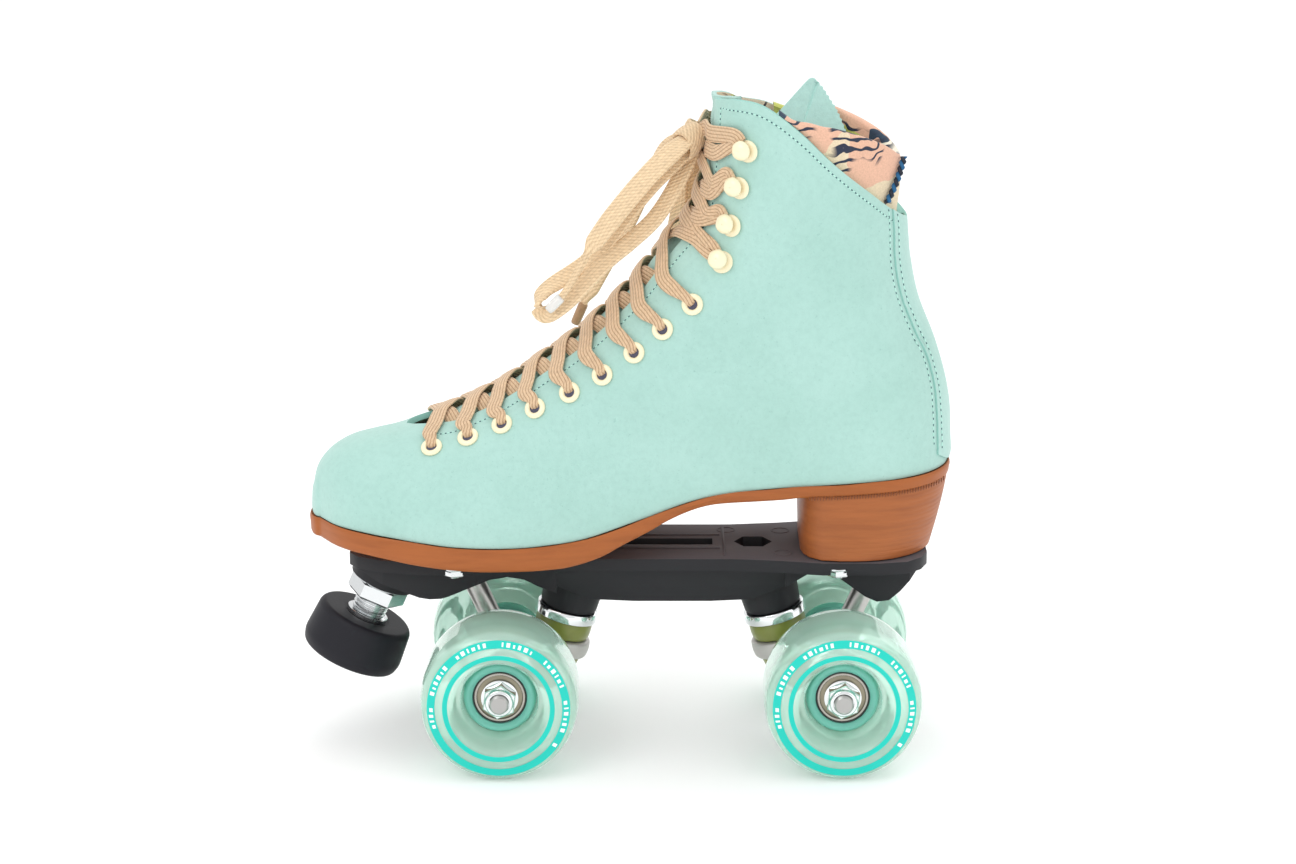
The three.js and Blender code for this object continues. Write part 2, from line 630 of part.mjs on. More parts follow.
// The front face of the heel is rounded into the sides.
const HEEL_CORNER = table([[0, 0.5], [1.2, 0.68], [3.6, 0.85], [7.4, 0.96], [12, 1]]);
const heel = (() => {
  const ring = (k, inset, zOf) => {
    const pts = [];
    const xs = [0, 0.02, 0.06, 0.12, 0.2, 0.4, 0.55, 0.7, 0.8, 0.88, 0.94, 0.98, 1];
    const back = HEEL_X - inset;
    const x0 = HEEL_FRONT_X + k;
    const at = (t, side) => {
      const x = x0 + (back - x0) * t;
      const w = (side < 0 ? soleIn(x) : soleOut(x)) * heelRound(back + 0.1 - x, 32) * HEEL_CORNER(x - x0) - inset * 0.42 - 0.4;
      return [x, side * Math.max(0.6, w), zOf(x)];
    };
    for (const t of xs) pts.push(at(t, -1));
    for (const t of [...xs].reverse()) pts.push(at(t, 1));
    return pts;
  };
  return loft([
    ring(0.6, 6.6, () => HEEL_BOTTOM_Z),
    ring(0, 5.0, () => HEEL_BOTTOM_Z + 6),
    ring(-0.3, 2.4, () => HEEL_BOTTOM_Z + 17),
    ring(-0.3, 0.9, (x) => soleBottom(x) - 0.4),
  ]);
})();

// ---------------------------------------------------------------- plate
const MID_X = (FRONT_AXLE_X + REAR_AXLE_X) / 2;
const mirrorX = (x) => 2 * MID_X - x;
// The kingpin's axis: a point and a direction up, for the front truck.
const KP = { x: FRONT_AXLE_X + KINGPIN_AT[0], z: AXLE_Z + KINGPIN_AT[1] };
const kingpinFrame = (rear) =>
  chain(
    place(rear ? mirrorX(KP.x) : KP.x, 0, KP.z),
    turn("y", (rear ? -1 : 1) * KINGPIN_TILT),
  );
const PIV = { x: FRONT_AXLE_X + PIVOT_AT[0], z: AXLE_Z + PIVOT_AT[1] };
const pivotX = (rear) => (rear ? mirrorX(PIV.x) : PIV.x);
// The pivot arm's direction, from the axle up to the ball.
const armFootX = (rear) => (rear ? REAR_AXLE_X - ARM_FOOT : FRONT_AXLE_X + ARM_FOOT);
const armFrame = (rear) =>
  chain(
    place(pivotX(rear), 0, PIV.z),
    turn("y", Math.atan2(pivotX(rear) - armFootX(rear), PIV.z - AXLE_Z)),
  );
const toeFrame = chain(place(TOE_FACE[0], 0, TOE_FACE[1]), turn("y", TOE_TILT));
const BOLT_SEAT_Z = 81.6; // where the nuts bear on the plate
const BOLTS = [
  [-80, -25], [-80, 25], [78.5, -25], [78.5, 25],
];
const SKIRT_HALF = 22.4; // half the width of the skirts at the bolts
const plate = (() => {
  const half = table([
    [-124, 15], [-120, 21], [-110, 26.5], [-95, 30], [-78, 30.5], [-62, 27], [-45, 24.5], [0, 24], [35, 24.5],
    [55, 27], [72, 30.5], [95, 30.5], [107, 28], [113, 22], [116, 14],
  ]);
  const xs = [-124, -120, -110, -95, -78, -62, -45, -20, 0, 20, 35, 55, 72, 95, 107, 113, 116];
  const outline = [...xs.map((x) => [x, -half(x)]), ...[...xs].reverse().map((x) => [x, half(x)])];
  let s = flat(outline, PLATE_TOP_Z - FLANGE_T, PLATE_TOP_Z);
  const z1 = PLATE_TOP_Z - 2;
  // The deep beam between the two kingpin bosses.
  const draft = (p) => {
    p[1] *= 0.72 + 0.28 * smooth(BEAM_BOTTOM_Z, z1, p[2]);
  };
  s = s.add(
    slab([[-38, z1], [-38, 70], [-24, BEAM_BOTTOM_Z + 0.8], [-6, BEAM_BOTTOM_Z], [26, BEAM_BOTTOM_Z], [43, BEAM_BOTTOM_Z + 0.8], [57, 70], [57, z1]].reverse(), -21.5, 21.5)
      .refineToLength(9)
      .warp(draft),
  );
  // The skirts down to the pivot bosses follow the edge of the flange, a little inside it.
  const skirt = (side) => {
    const inner = xs.map((x) => [Math.max(-121.6, Math.min(114, x)), side * Math.max(11, half(x) - 4.2)]);
    return inner;
  };
  const plan = flat([...skirt(-1), ...skirt(1).reverse()], 55, z1 + 0.5);
  const frontWeb = slab([[-122, z1], [-119.7, 77.4], [-112, 73.2], [-100.2, 68.6], [-95, 66.7], [-90.7, 66], [-86, 66.2], [-82.4, 67.3], [-77, 69.8], [-72.8, 71.7], [-65.5, 74.5], [-58.4, 75.7], [-51.3, 74.2], [-45.9, 71.1], [-38, 68], [-38, z1]].reverse(), -SKIRT_HALF, SKIRT_HALF);
  const rearWeb = slab([[115, z1], [108, 73.6], [104.6, 69.6], [100, 65.6], [95, 65], [90, 67.2], [84, 71.6], [78, 76.2], [72, 77.6], [66, 76.8], [57, 71.4], [57, z1]].reverse(), -SKIRT_HALF, SKIRT_HALF);
  s = s.add(frontWeb.intersect(plan)).add(rearWeb.intersect(plan));
  for (const rear of [false, true]) {
    const k = kingpinFrame(rear);
    s = s.add(rod(11.8, 13.2, 2.6, 22, 20, k));
  }
  // The toe stop's threaded boss.
  s = s.add(rod(13.6, 14.2, 16.2, 30, 20, toeFrame));
  // Everything above the top face goes, then the bores are cut.
  s = s.subtract(block(-160, 160, -60, 60, PLATE_TOP_Z, PLATE_TOP_Z + 60));
  for (const rear of [false, true]) {
    s = s.subtract(rod(KINGPIN_R + 0.35, KINGPIN_R + 0.35, -8, 23, 14, kingpinFrame(rear)));
    const a = armFrame(rear);
    s = s.subtract(rod(8.7, 8.7, -30, 6.4, 14, a));
  }
  s = s.subtract(rod(STEM_R + 0.35, STEM_R + 0.35, -5, 60, 20, toeFrame));
  for (const [x, y] of BOLTS) s = s.subtract(rod(2.9, 2.9, 76, 90, 10, place(x, y, 0))).subtract(rod(6.4, 6.4, 76.6, BOLT_SEAT_Z, 12, place(x, y, 0)));
  // Lightening slots and the hexagonal tool socket in the top face.
  s = s.subtract(block(-12, 27, -4.2, 4.2, 70, 90));
  s = s.subtract(solid(new THREE.CylinderGeometry(8, 8, 14, 6), chain(place(44, 0, 80), turn("x", Math.PI / 2), turn("y", Math.PI / 6))));
  return s;
})();
const mountBolt = (x, y) =>
  // Passes up through the plate and into the sole or the heel, with a nut let into the flange.
  rod(2.5, 2.5, PLATE_TOP_Z - 6.2, PLATE_TOP_Z - 0.2, 10, place(x, y, 0)).add(rod(5.1, 5.1, PLATE_TOP_Z - 6.6, BOLT_SEAT_Z - 0.1, 6, place(x, y, 0)));

// ---------------------------------------------------------------- toe stop
const toeRubber = turned(
  [
    [8.9, -0.2], [TOE_R - 2.2, 0], [TOE_R - 0.4, -1.2], [TOE_R + 0.9, -TOE_H + 5], [TOE_R + 0.4, -TOE_H + 2], [TOE_R - 3.5, -TOE_H],
    [8.9, -TOE_H],
  ],
  24,
  toeFrame,
).add(rod(9.4, 9.4, -TOE_H, -9.6, 20, toeFrame));
const toeStem = rod(STEM_R, STEM_R, -9.0, 27.5, 20, toeFrame).add(rod(8.5, 8.5, -9.2, 1.3, 20, toeFrame));
const toeNut = rod(12.6, 12.6, 8.2, 15.8, 6, toeFrame).subtract(rod(STEM_R + 0.35, STEM_R + 0.35, 5, 20, 20, toeFrame));

// ---------------------------------------------------------------- trucks
const YOKE_C = -14.2; // middle of the yoke along the kingpin, below the retainer
const YOKE_H = 7.6;
function truck(rear) {
  const ax = rear ? REAR_AXLE_X : FRONT_AXLE_X,
    k = kingpinFrame(rear),
    a = armFrame(rear),
    sgn = rear ? 1 : -1;
  const alongY = chain(place(ax, 0, AXLE_Z), turn("x", Math.PI / 2));
  let hanger = rod(8.2, 8.2, -23.6, 23.6, 18, alongY)
    .add(rod(9.2, 9.2, -7, 7, 18, alongY))
    .add(rod(13.4, 13.4, YOKE_C - YOKE_H / 2, YOKE_C + YOKE_H / 2, 22, k));
  // The web from the yoke to the axle tube.
  const yc = new THREE.Vector3(0, 0, YOKE_C).applyMatrix4(k);
  const dx = ax - yc.x,
    dz = AXLE_Z - yc.z,
    len = Math.hypot(dx, dz);
  const web = chain(place(yc.x, 0, yc.z), turn("y", -Math.atan2(dz, dx)));
  hanger = hanger.add(block(2, len, -9, 9, -3.6, 3.6, web));
  // The pivot arm and its ball.
  const alen = Math.hypot(pivotX(rear) - armFootX(rear), PIV.z - AXLE_Z);
  const arm = a;
  hanger = hanger
    .add(rod(7.6, 4.6, -alen + 2, -2, 14, arm))
    .add(solid(new THREE.SphereGeometry(5.0, 12, 8), chain(arm, turn("x", Math.PI / 2))));
  hanger = hanger.subtract(rod(AXLE_R + 0.35, AXLE_R + 0.35, -40, 40, 14, alongY));
  hanger = hanger
    .subtract(rod(7.9, 7.9, YOKE_C - 12, YOKE_C + 12, 16, k))
    .subtract(rod(9.6, 11.4, YOKE_C - YOKE_H / 2 - 18, YOKE_C - YOKE_H / 2 - 0.01, 20, k));
  const axle = rod(AXLE_R, AXLE_R, -AXLE_HALF, AXLE_HALF, 14, alongY);
  const kingpin = rod(KINGPIN_R, KINGPIN_R, -34.6, 21.5, 14, k);
  const retainer = turned(
    [[KINGPIN_R + 0.4, 2.2], [KINGPIN_R + 0.4, 0.8], [11.4, 0.8], [12.4, -2.2], [13.2, -2.2], [13.2, 1.4], [12.4, 2.2]],
    24, k,
  );
  const top = YOKE_C + YOKE_H / 2;
  const cushionTop = turned(
    [[KINGPIN_R + 0.5, top + 0.35], [CUSHION_R - 0.7, top + 0.35], [CUSHION_R, top + 2], [CUSHION_R, -3.2], [CUSHION_R - 1.4, 0.4], [KINGPIN_R + 0.5, 0.4]],
    20, k,
  );
  const low = YOKE_C - YOKE_H / 2;
  const cushionBottom = turned(
    [[KINGPIN_R + 0.5, low - 0.35], [KINGPIN_R + 0.5, low - 10], [8.6, low - 10], [10.8, low - 0.35]],
    20, k,
  );
  const nut = turned(
    [[KINGPIN_R + 0.35, low - 10.4], [9.4, low - 10.4], [9.4, low - 11.8], [KINGPIN_R + 0.35, low - 11.8]],
    18, k,
  ).add(rod(8, 8, low - 18.4, low - 11.7, 6, k).subtract(rod(KINGPIN_R + 0.35, KINGPIN_R + 0.35, low - 30, low + 5, 18, k)));
  const cup = rod(8.3, 8.3, -7.5, 6, 16, a)
    .subtract(solid(new THREE.SphereGeometry(5.35, 12, 8), chain(a, turn("x", Math.PI / 2))))
    .subtract(rod(8.0, 5.0, -7.6, 0.2, 14, a));
  return { hanger, axle, kingpin, retainer, cushionTop, cushionBottom, nut, cup };
}

// ---------------------------------------------------------------- wheels
// A wheel's own axis is +Z here, from its inboard face (negative) to its outboard face (positive).
function wheel(ax, side) {
  const m = chain(place(ax, side * WHEEL_Y, AXLE_Z), turn("x", side < 0 ? Math.PI / 2 : -Math.PI / 2));
  const h = WHEEL_W / 2;
  const R = WHEEL_R / Math.cos(Math.PI / WHEEL_SEGS);
  const phase = Math.PI / WHEEL_SEGS;
  const tyre = turned(
    [
      [R, -10], [R - 1.4, -14], [R - 6.5, -h + 1.2], [R - 12, -h], [16.2, -h + 0.4], [15.3, -h + 3], [15.3, h - 9], [18.0, h - 1.6], [R - 12, h],
      [R - 6.5, h - 1.2], [R - 1.4, 14], [R, 10],
    ],
    WHEEL_SEGS, m, phase,
  );
  const inY = BEARING_IN_Y - WHEEL_Y,
    outY = BEARING_OUT_Y - WHEEL_Y,
    b = BEARING_W / 2;
  const core = turned(
    [
      [15, -h + 3], [15, outY + b + 2.4], [BEARING_R + 0.3, outY + b + 0.3], [BEARING_R + 0.3, outY - b - 0.3], [8.6, outY - b - 0.3],
      [8.6, inY + b + 0.3], [BEARING_R + 0.3, inY + b + 0.3], [BEARING_R + 0.3, inY - b - 0.4], [14.2, inY - b - 0.4],
    ],
    18, m,
  );
  const bearing = (y) =>
    turned([[BEARING_BORE_R, y - b], [BEARING_R, y - b], [BEARING_R, y + b], [BEARING_BORE_R, y + b]], 16, m);
  const face = outY + b;
  const nut = rod(7.4, 7.4, face + 0.5, face + 6.8, 6, m)
    .add(rod(5.6, 4.9, face + 6.7, face + 8.4, 12, m))
    .subtract(rod(AXLE_R + 0.35, AXLE_R + 0.35, face - 1, face + 12, 14, m));
  return { tyre, core, bearingIn: bearing(inY), bearingOut: bearing(outY), nut };
}

// ---------------------------------------------------------------- laces
// A strand lies on the boot's face from one row of eyelets to the next on the other side.
const LACE_ROWS = [...EYELET_US, ...HOOK_US];
const crestU = LACE_ROWS.map(([u, s], i) => {
  // The point of the front line nearest to this row.
  const p = bootPoint(u, s, -1);
  let best = [1e9, 0];
  for (let q = 6; q <= ROWS - 1; q += 0.05) {
    const t = bootPoint(q, 0, 1),
      d = Math.hypot(t[0] - p[0], t[2] - p[2]);
    if (d < best[0]) best = [d, q];
  }
  return best[1];
});
function strand(i, side) {
  const a = crestU[i],
    b = crestU[i + 1];
  const pts = [];
  for (const [f, y] of [[0, -18.8], [0.26, -11], [0.5, 0], [0.74, 11], [1, 18.8]])
    pts.push([a + (b - a) * f, y * side * -1 * -1]);
  const top = [],
    bottom = [];
  pts.forEach(([u, y]) => {
    const yy = y * 1;
    const s = yy === 0 ? 0 : sAtY(u, yy),
      sd = yy < 0 ? -1 : 1;
    const p = bootPoint(u, s, sd),
      n = bootNormal(u, s, sd);
    const t = unit(sub(bootPoint(Math.min(ROWS - 1, u + 0.2), 0, 1), bootPoint(u - 0.2, 0, 1)));
    const lift = 0.7;
    const mk = (w, h) => along(along(p, t, w), n, h);
    top.push([mk(-LACE_W / 2, lift + LACE_T), mk(LACE_W / 2, lift + LACE_T)]);
    bottom.push([mk(-LACE_W / 2, lift), mk(LACE_W / 2, lift)]);
  });
  return sheetBody(top, bottom);
}
let laces = null;
for (let i = 0; i < LACE_ROWS.length - 1; i++)
  for (const side of [-1, 1]) {
    const s = strand(i, side);
    laces = laces ? laces.add(s) : s;
  }
// The knot of the bow, in front of the top row, is part of the same lace.
const KNOT = [18.4, -4, 259.4];
laces = laces.add(solid(new THREE.SphereGeometry(5.2, 10, 7), place(...KNOT)));

// The free loops and ends: flat laces, each a strip of oval section along its route.
function lacePath(points, w, t, steps) {
  const curve = new THREE.CatmullRomCurve3(points.map((p) => new THREE.Vector3(...p)));
  const shape = new THREE.Shape();
  const n = 6;
  for (let i = 0; i < n; i++) {
    const a = (2 * Math.PI * i) / n + Math.PI / 8,
      x = (t / 2) * Math.cos(a),
      y = (w / 2) * Math.sin(a);
    i ? shape.lineTo(x, y) : shape.moveTo(x, y);
  }
  const g = new THREE.ExtrudeGeometry(shape, { steps, extrudePath: curve, bevelEnabled: false });
  let s = solid(g);
  if (s.volume() < 0) {
    const i = s.getMesh();
    s = fromArrays(Array.from(i.vertProperties), Array.from(i.triVerts));
  }
  return s;
}
const LOOP_NEAR = [
  [12.8, -8.8, 254.6], [6.5, -14, 245.5], [-2, -17, 235.8], [-10.5, -20, 225.3], [-19, -22, 214.2], [-28.3, -24, 203.9], [-37.1, -26, 197.8], [-42.4, -27, 193.9], [-43.2, -28, 190.4], [-39.5, -29, 189], [-31.9, -29, 193.1], [-22.6, -28, 201.6], [-12.9, -27, 212.1], [-3.2, -25, 223.1], [5.6, -22, 233.6], [13.3, -18, 243.8], [18.2, -13.6, 250.6],
];
const LOOP_FAR = [
  [16.2, 5.4, 252.4], [14.6, 13, 246.5], [13.6, 21.5, 236.1], [13.6, 26.5, 223.4], [11.3, 30.8, 211.4], [9.2, 33.8, 201], [7.4, 36, 194.2], [8.2, 38.6, 189.6], [11.8, 39.8, 191.2], [14.6, 39.6, 199.6], [16.6, 37.6, 210], [18.6, 33.6, 221.4], [18.8, 29, 232.6], [18.2, 22.6, 242.1], [17.4, 14.4, 250],
];
const END_NEAR = [
  [11.4, -13.4, 260.6], [5.2, -19, 256], [-2.8, -23, 247.6], [-10.4, -26.6, 237.6], [-18, -29.5, 227], [-24, -31.5, 217.6], [-26.5, -32.5, 212.2], [-31.3, -33, 204.6], [-36.6, -33.5, 196.7], [-39.8, -34, 192.6],
];
const END_FAR = [
  [12.6, 0.8, 257.6], [8.2, 9.6, 252.4], [3.2, 18, 242.2], [-1.9, 25, 230.6], [-7, 30.4, 218.2], [-12.8, 34, 206], [-18.4, 36.4, 195.2], [-23.6, 38, 185.4], [-27.6, 38.8, 177.4], [-30.4, 39.4, 170.4],
];

// ---------------------------------------------------------------- the assembly
const suede = new THREE.MeshStandardMaterial({ color: 0xa6dccb, roughness: 0.95, metalness: 0 });
const brown = new THREE.MeshStandardMaterial({ color: 0xa4602f, roughness: 0.55, metalness: 0 });
const nylon = new THREE.MeshStandardMaterial({ color: 0x2b2b2d, roughness: 0.6, metalness: 0 });
const rubber = new THREE.MeshStandardMaterial({ color: 0x24232a, roughness: 0.75, metalness: 0 });
const zinc = new THREE.MeshStandardMaterial({ color: 0xc9cdd0, roughness: 0.25, metalness: 1 });
const cast = new THREE.MeshStandardMaterial({ color: 0xb9b5b0, roughness: 0.55, metalness: 0.8 });
const steel = new THREE.MeshStandardMaterial({ color: 0x9c9a94, roughness: 0.3, metalness: 1 });
const olive = new THREE.MeshStandardMaterial({ color: 0x74803a, roughness: 0.5, metalness: 0 });
const urethane = new THREE.MeshStandardMaterial({ color: 0xa9dcc4, roughness: 0.2, metalness: 0 });
const hub = new THREE.MeshStandardMaterial({ color: 0x5cc9ac, roughness: 0.3, metalness: 0 });
const enamel = new THREE.MeshStandardMaterial({ color: 0xf6edca, roughness: 0.35, metalness: 0.1 });
const cotton = new THREE.MeshStandardMaterial({ color: 0xc9ab87, roughness: 0.9, metalness: 0 });
const print = new THREE.MeshStandardMaterial({ color: 0xe9c79a, roughness: 0.9, metalness: 0 });
const cork = new THREE.MeshStandardMaterial({ color: 0xd8c2a0, roughness: 0.9, metalness: 0 });

const skate = new THREE.Group();
const boot = new THREE.Group();
const chassis = new THREE.Group();
skate.add(boot, chassis);
const piece = (parent, name, s, material) => {
  const mesh = new THREE.Mesh(geometryOf(tidy(s)), material);
  mesh.name = name;
  parent.add(mesh);
};
piece(boot, "boot_upper", shell, suede);
piece(boot, "tongue", largest(tongue.add(tongueCorner.subtract(wallZone))), suede);
piece(boot, "collar_lining", largest(lining.subtract(wallZone)), print);
piece(boot, "footbed", largest(footbed.subtract(wallZone)), cork);
piece(boot, "backstay", largest(backstay.subtract(bootZone)), suede);
piece(boot, "eyelet_row_inner", stays.inner, enamel);
piece(boot, "eyelet_row_outer", stays.outer, enamel);
piece(boot, "lacing", laces, cotton);
piece(boot, "lace_loop_inner", lacePath(LOOP_NEAR, 7.2, 2.6, 34), cotton);
piece(boot, "lace_loop_outer", lacePath(LOOP_FAR, 7.2, 2.6, 28), cotton);
piece(boot, "lace_end_inner", lacePath(END_NEAR, 7.2, 2.6, 16), cotton);
piece(boot, "lace_end_outer", lacePath(END_FAR, 7.2, 2.6, 20), cotton);
piece(boot, "outsole", largest(sole.subtract(bootZone)), brown);
piece(boot, "heel_block", heel, brown);
piece(chassis, "plate", plate, nylon);
BOLTS.forEach(([x, y], i) =>
  piece(chassis, ["mount_bolt_front_inner", "mount_bolt_front_outer", "mount_bolt_rear_inner", "mount_bolt_rear_outer"][i], mountBolt(x, y), zinc),
);
piece(chassis, "toe_stop_rubber", toeRubber, rubber);
piece(chassis, "toe_stop_stem", toeStem, zinc);
piece(chassis, "toe_stop_nut", toeNut, zinc);
for (const rear of [false, true]) {
  const e = rear ? "rear" : "front",
    t = truck(rear);
  const g = new THREE.Group();
  chassis.add(g);
  piece(g, e + "_truck_hanger", t.hanger, cast);
  piece(g, e + "_axle", t.axle, steel);
  piece(g, e + "_kingpin", t.kingpin, zinc);
  piece(g, e + "_kingpin_nut", t.nut, zinc);
  piece(g, e + "_cushion_retainer", t.retainer, zinc);
  piece(g, e + "_cushion_upper", t.cushionTop, olive);
  piece(g, e + "_cushion_lower", t.cushionBottom, olive);
  piece(g, e + "_pivot_cup", t.cup, nylon);
  for (const side of [-1, 1]) {
    const w = wheel(rear ? REAR_AXLE_X : FRONT_AXLE_X, side),
      n = e + (side < 0 ? "_inner" : "_outer");
    piece(g, n + "_tyre", w.tyre, urethane);
    piece(g, n + "_hub", w.core, hub);
    piece(g, n + "_bearing_inboard", w.bearingIn, steel);
    piece(g, n + "_bearing_outboard", w.bearingOut, steel);
    piece(g, n + "_axle_nut", w.nut, zinc);
  }
}
skate.position.x = SHIFT_X;

export default skate;
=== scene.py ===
# The looks of a quad roller skate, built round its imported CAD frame.
# Lengths are written in millimetres and turned into metres when a mesh is made.
import math
import random
import bpy
import bmesh
import numpy as np
from mathutils import Matrix, Vector


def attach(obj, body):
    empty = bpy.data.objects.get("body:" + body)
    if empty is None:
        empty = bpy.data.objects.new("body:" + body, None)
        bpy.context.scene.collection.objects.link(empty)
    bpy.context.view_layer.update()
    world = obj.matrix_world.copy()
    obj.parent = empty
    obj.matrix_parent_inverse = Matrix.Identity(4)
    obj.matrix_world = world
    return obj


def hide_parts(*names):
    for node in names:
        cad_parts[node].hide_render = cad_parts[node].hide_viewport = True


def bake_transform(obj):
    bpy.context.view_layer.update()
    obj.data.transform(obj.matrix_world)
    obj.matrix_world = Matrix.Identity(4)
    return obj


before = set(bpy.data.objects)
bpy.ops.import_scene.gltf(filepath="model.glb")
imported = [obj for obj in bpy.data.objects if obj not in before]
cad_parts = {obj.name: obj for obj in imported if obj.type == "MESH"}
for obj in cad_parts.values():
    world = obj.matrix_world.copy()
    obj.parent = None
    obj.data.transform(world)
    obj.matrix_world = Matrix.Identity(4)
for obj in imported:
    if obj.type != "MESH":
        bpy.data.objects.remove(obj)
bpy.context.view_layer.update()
random.seed(4)
rng = np.random.default_rng(4)
SHIFT = 9.6
ROOT = "boot_and_plate"
scene = bpy.context.scene


# ------------------------------------------------------------------ materials
def material(name, base, rough=0.5, metal=0.0, **inputs):
    m = bpy.data.materials.new(name)
    m.use_nodes = True
    b = m.node_tree.nodes["Principled BSDF"]
    b.inputs["Base Color"].default_value = (*base, 1)
    b.inputs["Roughness"].default_value = rough
    b.inputs["Metallic"].default_value = metal
    for k, v in inputs.items():
        b.inputs[k.replace("_", " ")].default_value = v
    m.diffuse_color = (*base, 1)
    return m


def node(m, kind, **props):
    n = m.node_tree.nodes.new(kind)
    for k, v in props.items():
        setattr(n, k, v)
    return n


def link(m, a, b):
    m.node_tree.links.new(a, b)


def bsdf(m):
    return m.node_tree.nodes["Principled BSDF"]


def coords(m, kind="Object", scale=(1, 1, 1)):
    t = node(m, "ShaderNodeTexCoord")
    mp = node(m, "ShaderNodeMapping")
    mp.inputs["Scale"].default_value = scale
    link(m, t.outputs[kind], mp.inputs["Vector"])
    return mp.outputs["Vector"]


def noise(m, vec, scale, detail=3, rough=0.55):
    n = node(m, "ShaderNodeTexNoise")
    n.inputs["Scale"].default_value = scale
    n.inputs["Detail"].default_value = detail
    n.inputs["Roughness"].default_value = rough
    link(m, vec, n.inputs["Vector"])
    return n.outputs["Fac"]


def ramp(m, fac, stops, mode="LINEAR"):
    r = node(m, "ShaderNodeValToRGB")
    r.color_ramp.interpolation = mode
    e = r.color_ramp.elements
    while len(e) < len(stops):
        e.new(0.5)
    for el, (p, c) in zip(e, stops):
        el.position = p
        el.color = (*c, 1)
    link(m, fac, r.inputs["Fac"])
    return r.outputs["Color"]


def bump(m, height, strength, distance, before=None):
    b = node(m, "ShaderNodeBump")
    b.inputs["Strength"].default_value = strength
    b.inputs["Distance"].default_value = distance
    link(m, height, b.inputs["Height"])
    if before is not None:
        link(m, before, b.inputs["Normal"])
    link(m, b.outputs["Normal"], bsdf(m).inputs["Normal"])
    return b.outputs["Normal"]


def mix(m, fac, a, b, mode="MIX"):
    n = node(m, "ShaderNodeMix", data_type="RGBA", blend_type=mode)
    for key, val in ((0, fac), (6, a), (7, b)):
        if hasattr(val, "links"):
            link(m, val, n.inputs[key])
        elif key == 0:
            n.inputs[0].default_value = val
        else:
            n.inputs[key].default_value = (*val, 1)
    return n.outputs[2]


def suede_material(name, base, dark, light):
    m = material(name, base, 0.95, 0, Sheen_Weight=0.25, Sheen_Roughness=0.5)
    v = coords(m)
    broad = noise(m, v, 26, 3)
    fine = noise(m, v, 420, 4, 0.7)
    fleck = noise(m, v, 900, 2, 0.5)
    c1 = ramp(m, broad, [(0.3, dark), (0.5, base), (0.7, light)])
    c2 = ramp(m, fine, [(0.3, (0.93, 0.94, 0.94)), (0.55, (1, 1, 1)), (0.75, (1.03, 1.025, 1.025))])
    c3 = ramp(m, fleck, [(0.0, (0.74, 0.8, 0.8)), (0.27, (0.86, 0.9, 0.9)), (0.33, (1, 1, 1)), (1.0, (1, 1, 1))])
    c = mix(m, 1.0, c1, c2, "MULTIPLY")
    c = mix(m, 1.0, c, c3, "MULTIPLY")
    link(m, c, bsdf(m).inputs["Base Color"])
    n1 = bump(m, fine, 0.35, 0.0006)
    bump(m, noise(m, v, 60, 4, 0.6), 0.3, 0.0012, n1)
    return m


SUEDE = suede_material("suede_mint", (0.396, 0.63, 0.568), (0.372, 0.602, 0.538), (0.42, 0.655, 0.595))
# painted light: a brighter copy of the same mint suede, so the tongue's corner looks as lit as the boot's side
SUEDE_PAINTED_LIGHT = suede_material("suede_mint_painted_light", (0.52, 0.83, 0.775), (0.5, 0.81, 0.75), (0.54, 0.85, 0.8))
SUEDE_EDGE = material("suede_edge", (0.3, 0.56, 0.5), 0.95)
THREAD = material("thread", (0.5, 0.8, 0.71), 0.8)
# near-black dots for the stitch holes: painted shade inside each needle hole
STITCH_HOLE_SHADE = material("stitch_hole_painted_shade", (0.05, 0.12, 0.14), 0.95)


def leather_sole(name, base, dark):
    m = material(name, base, 0.45, 0, Specular_IOR_Level=0.3)
    v = coords(m, scale=(1, 1, 9))
    f = noise(m, v, 42, 4)
    c = ramp(m, f, [(0.3, dark), (0.5, base), (0.75, tuple(x * 1.1 for x in base))])
    link(m, c, bsdf(m).inputs["Base Color"])
    bump(m, noise(m, v, 160, 3), 0.12, 0.0006)
    return m


SOLE = leather_sole("sole_brown", (0.37, 0.108, 0.026), (0.33, 0.094, 0.022))
HEEL = leather_sole("heel_brown", (0.365, 0.112, 0.032), (0.315, 0.094, 0.028))
GROOVE = material("groove", (0.2, 0.06, 0.02), 0.7)


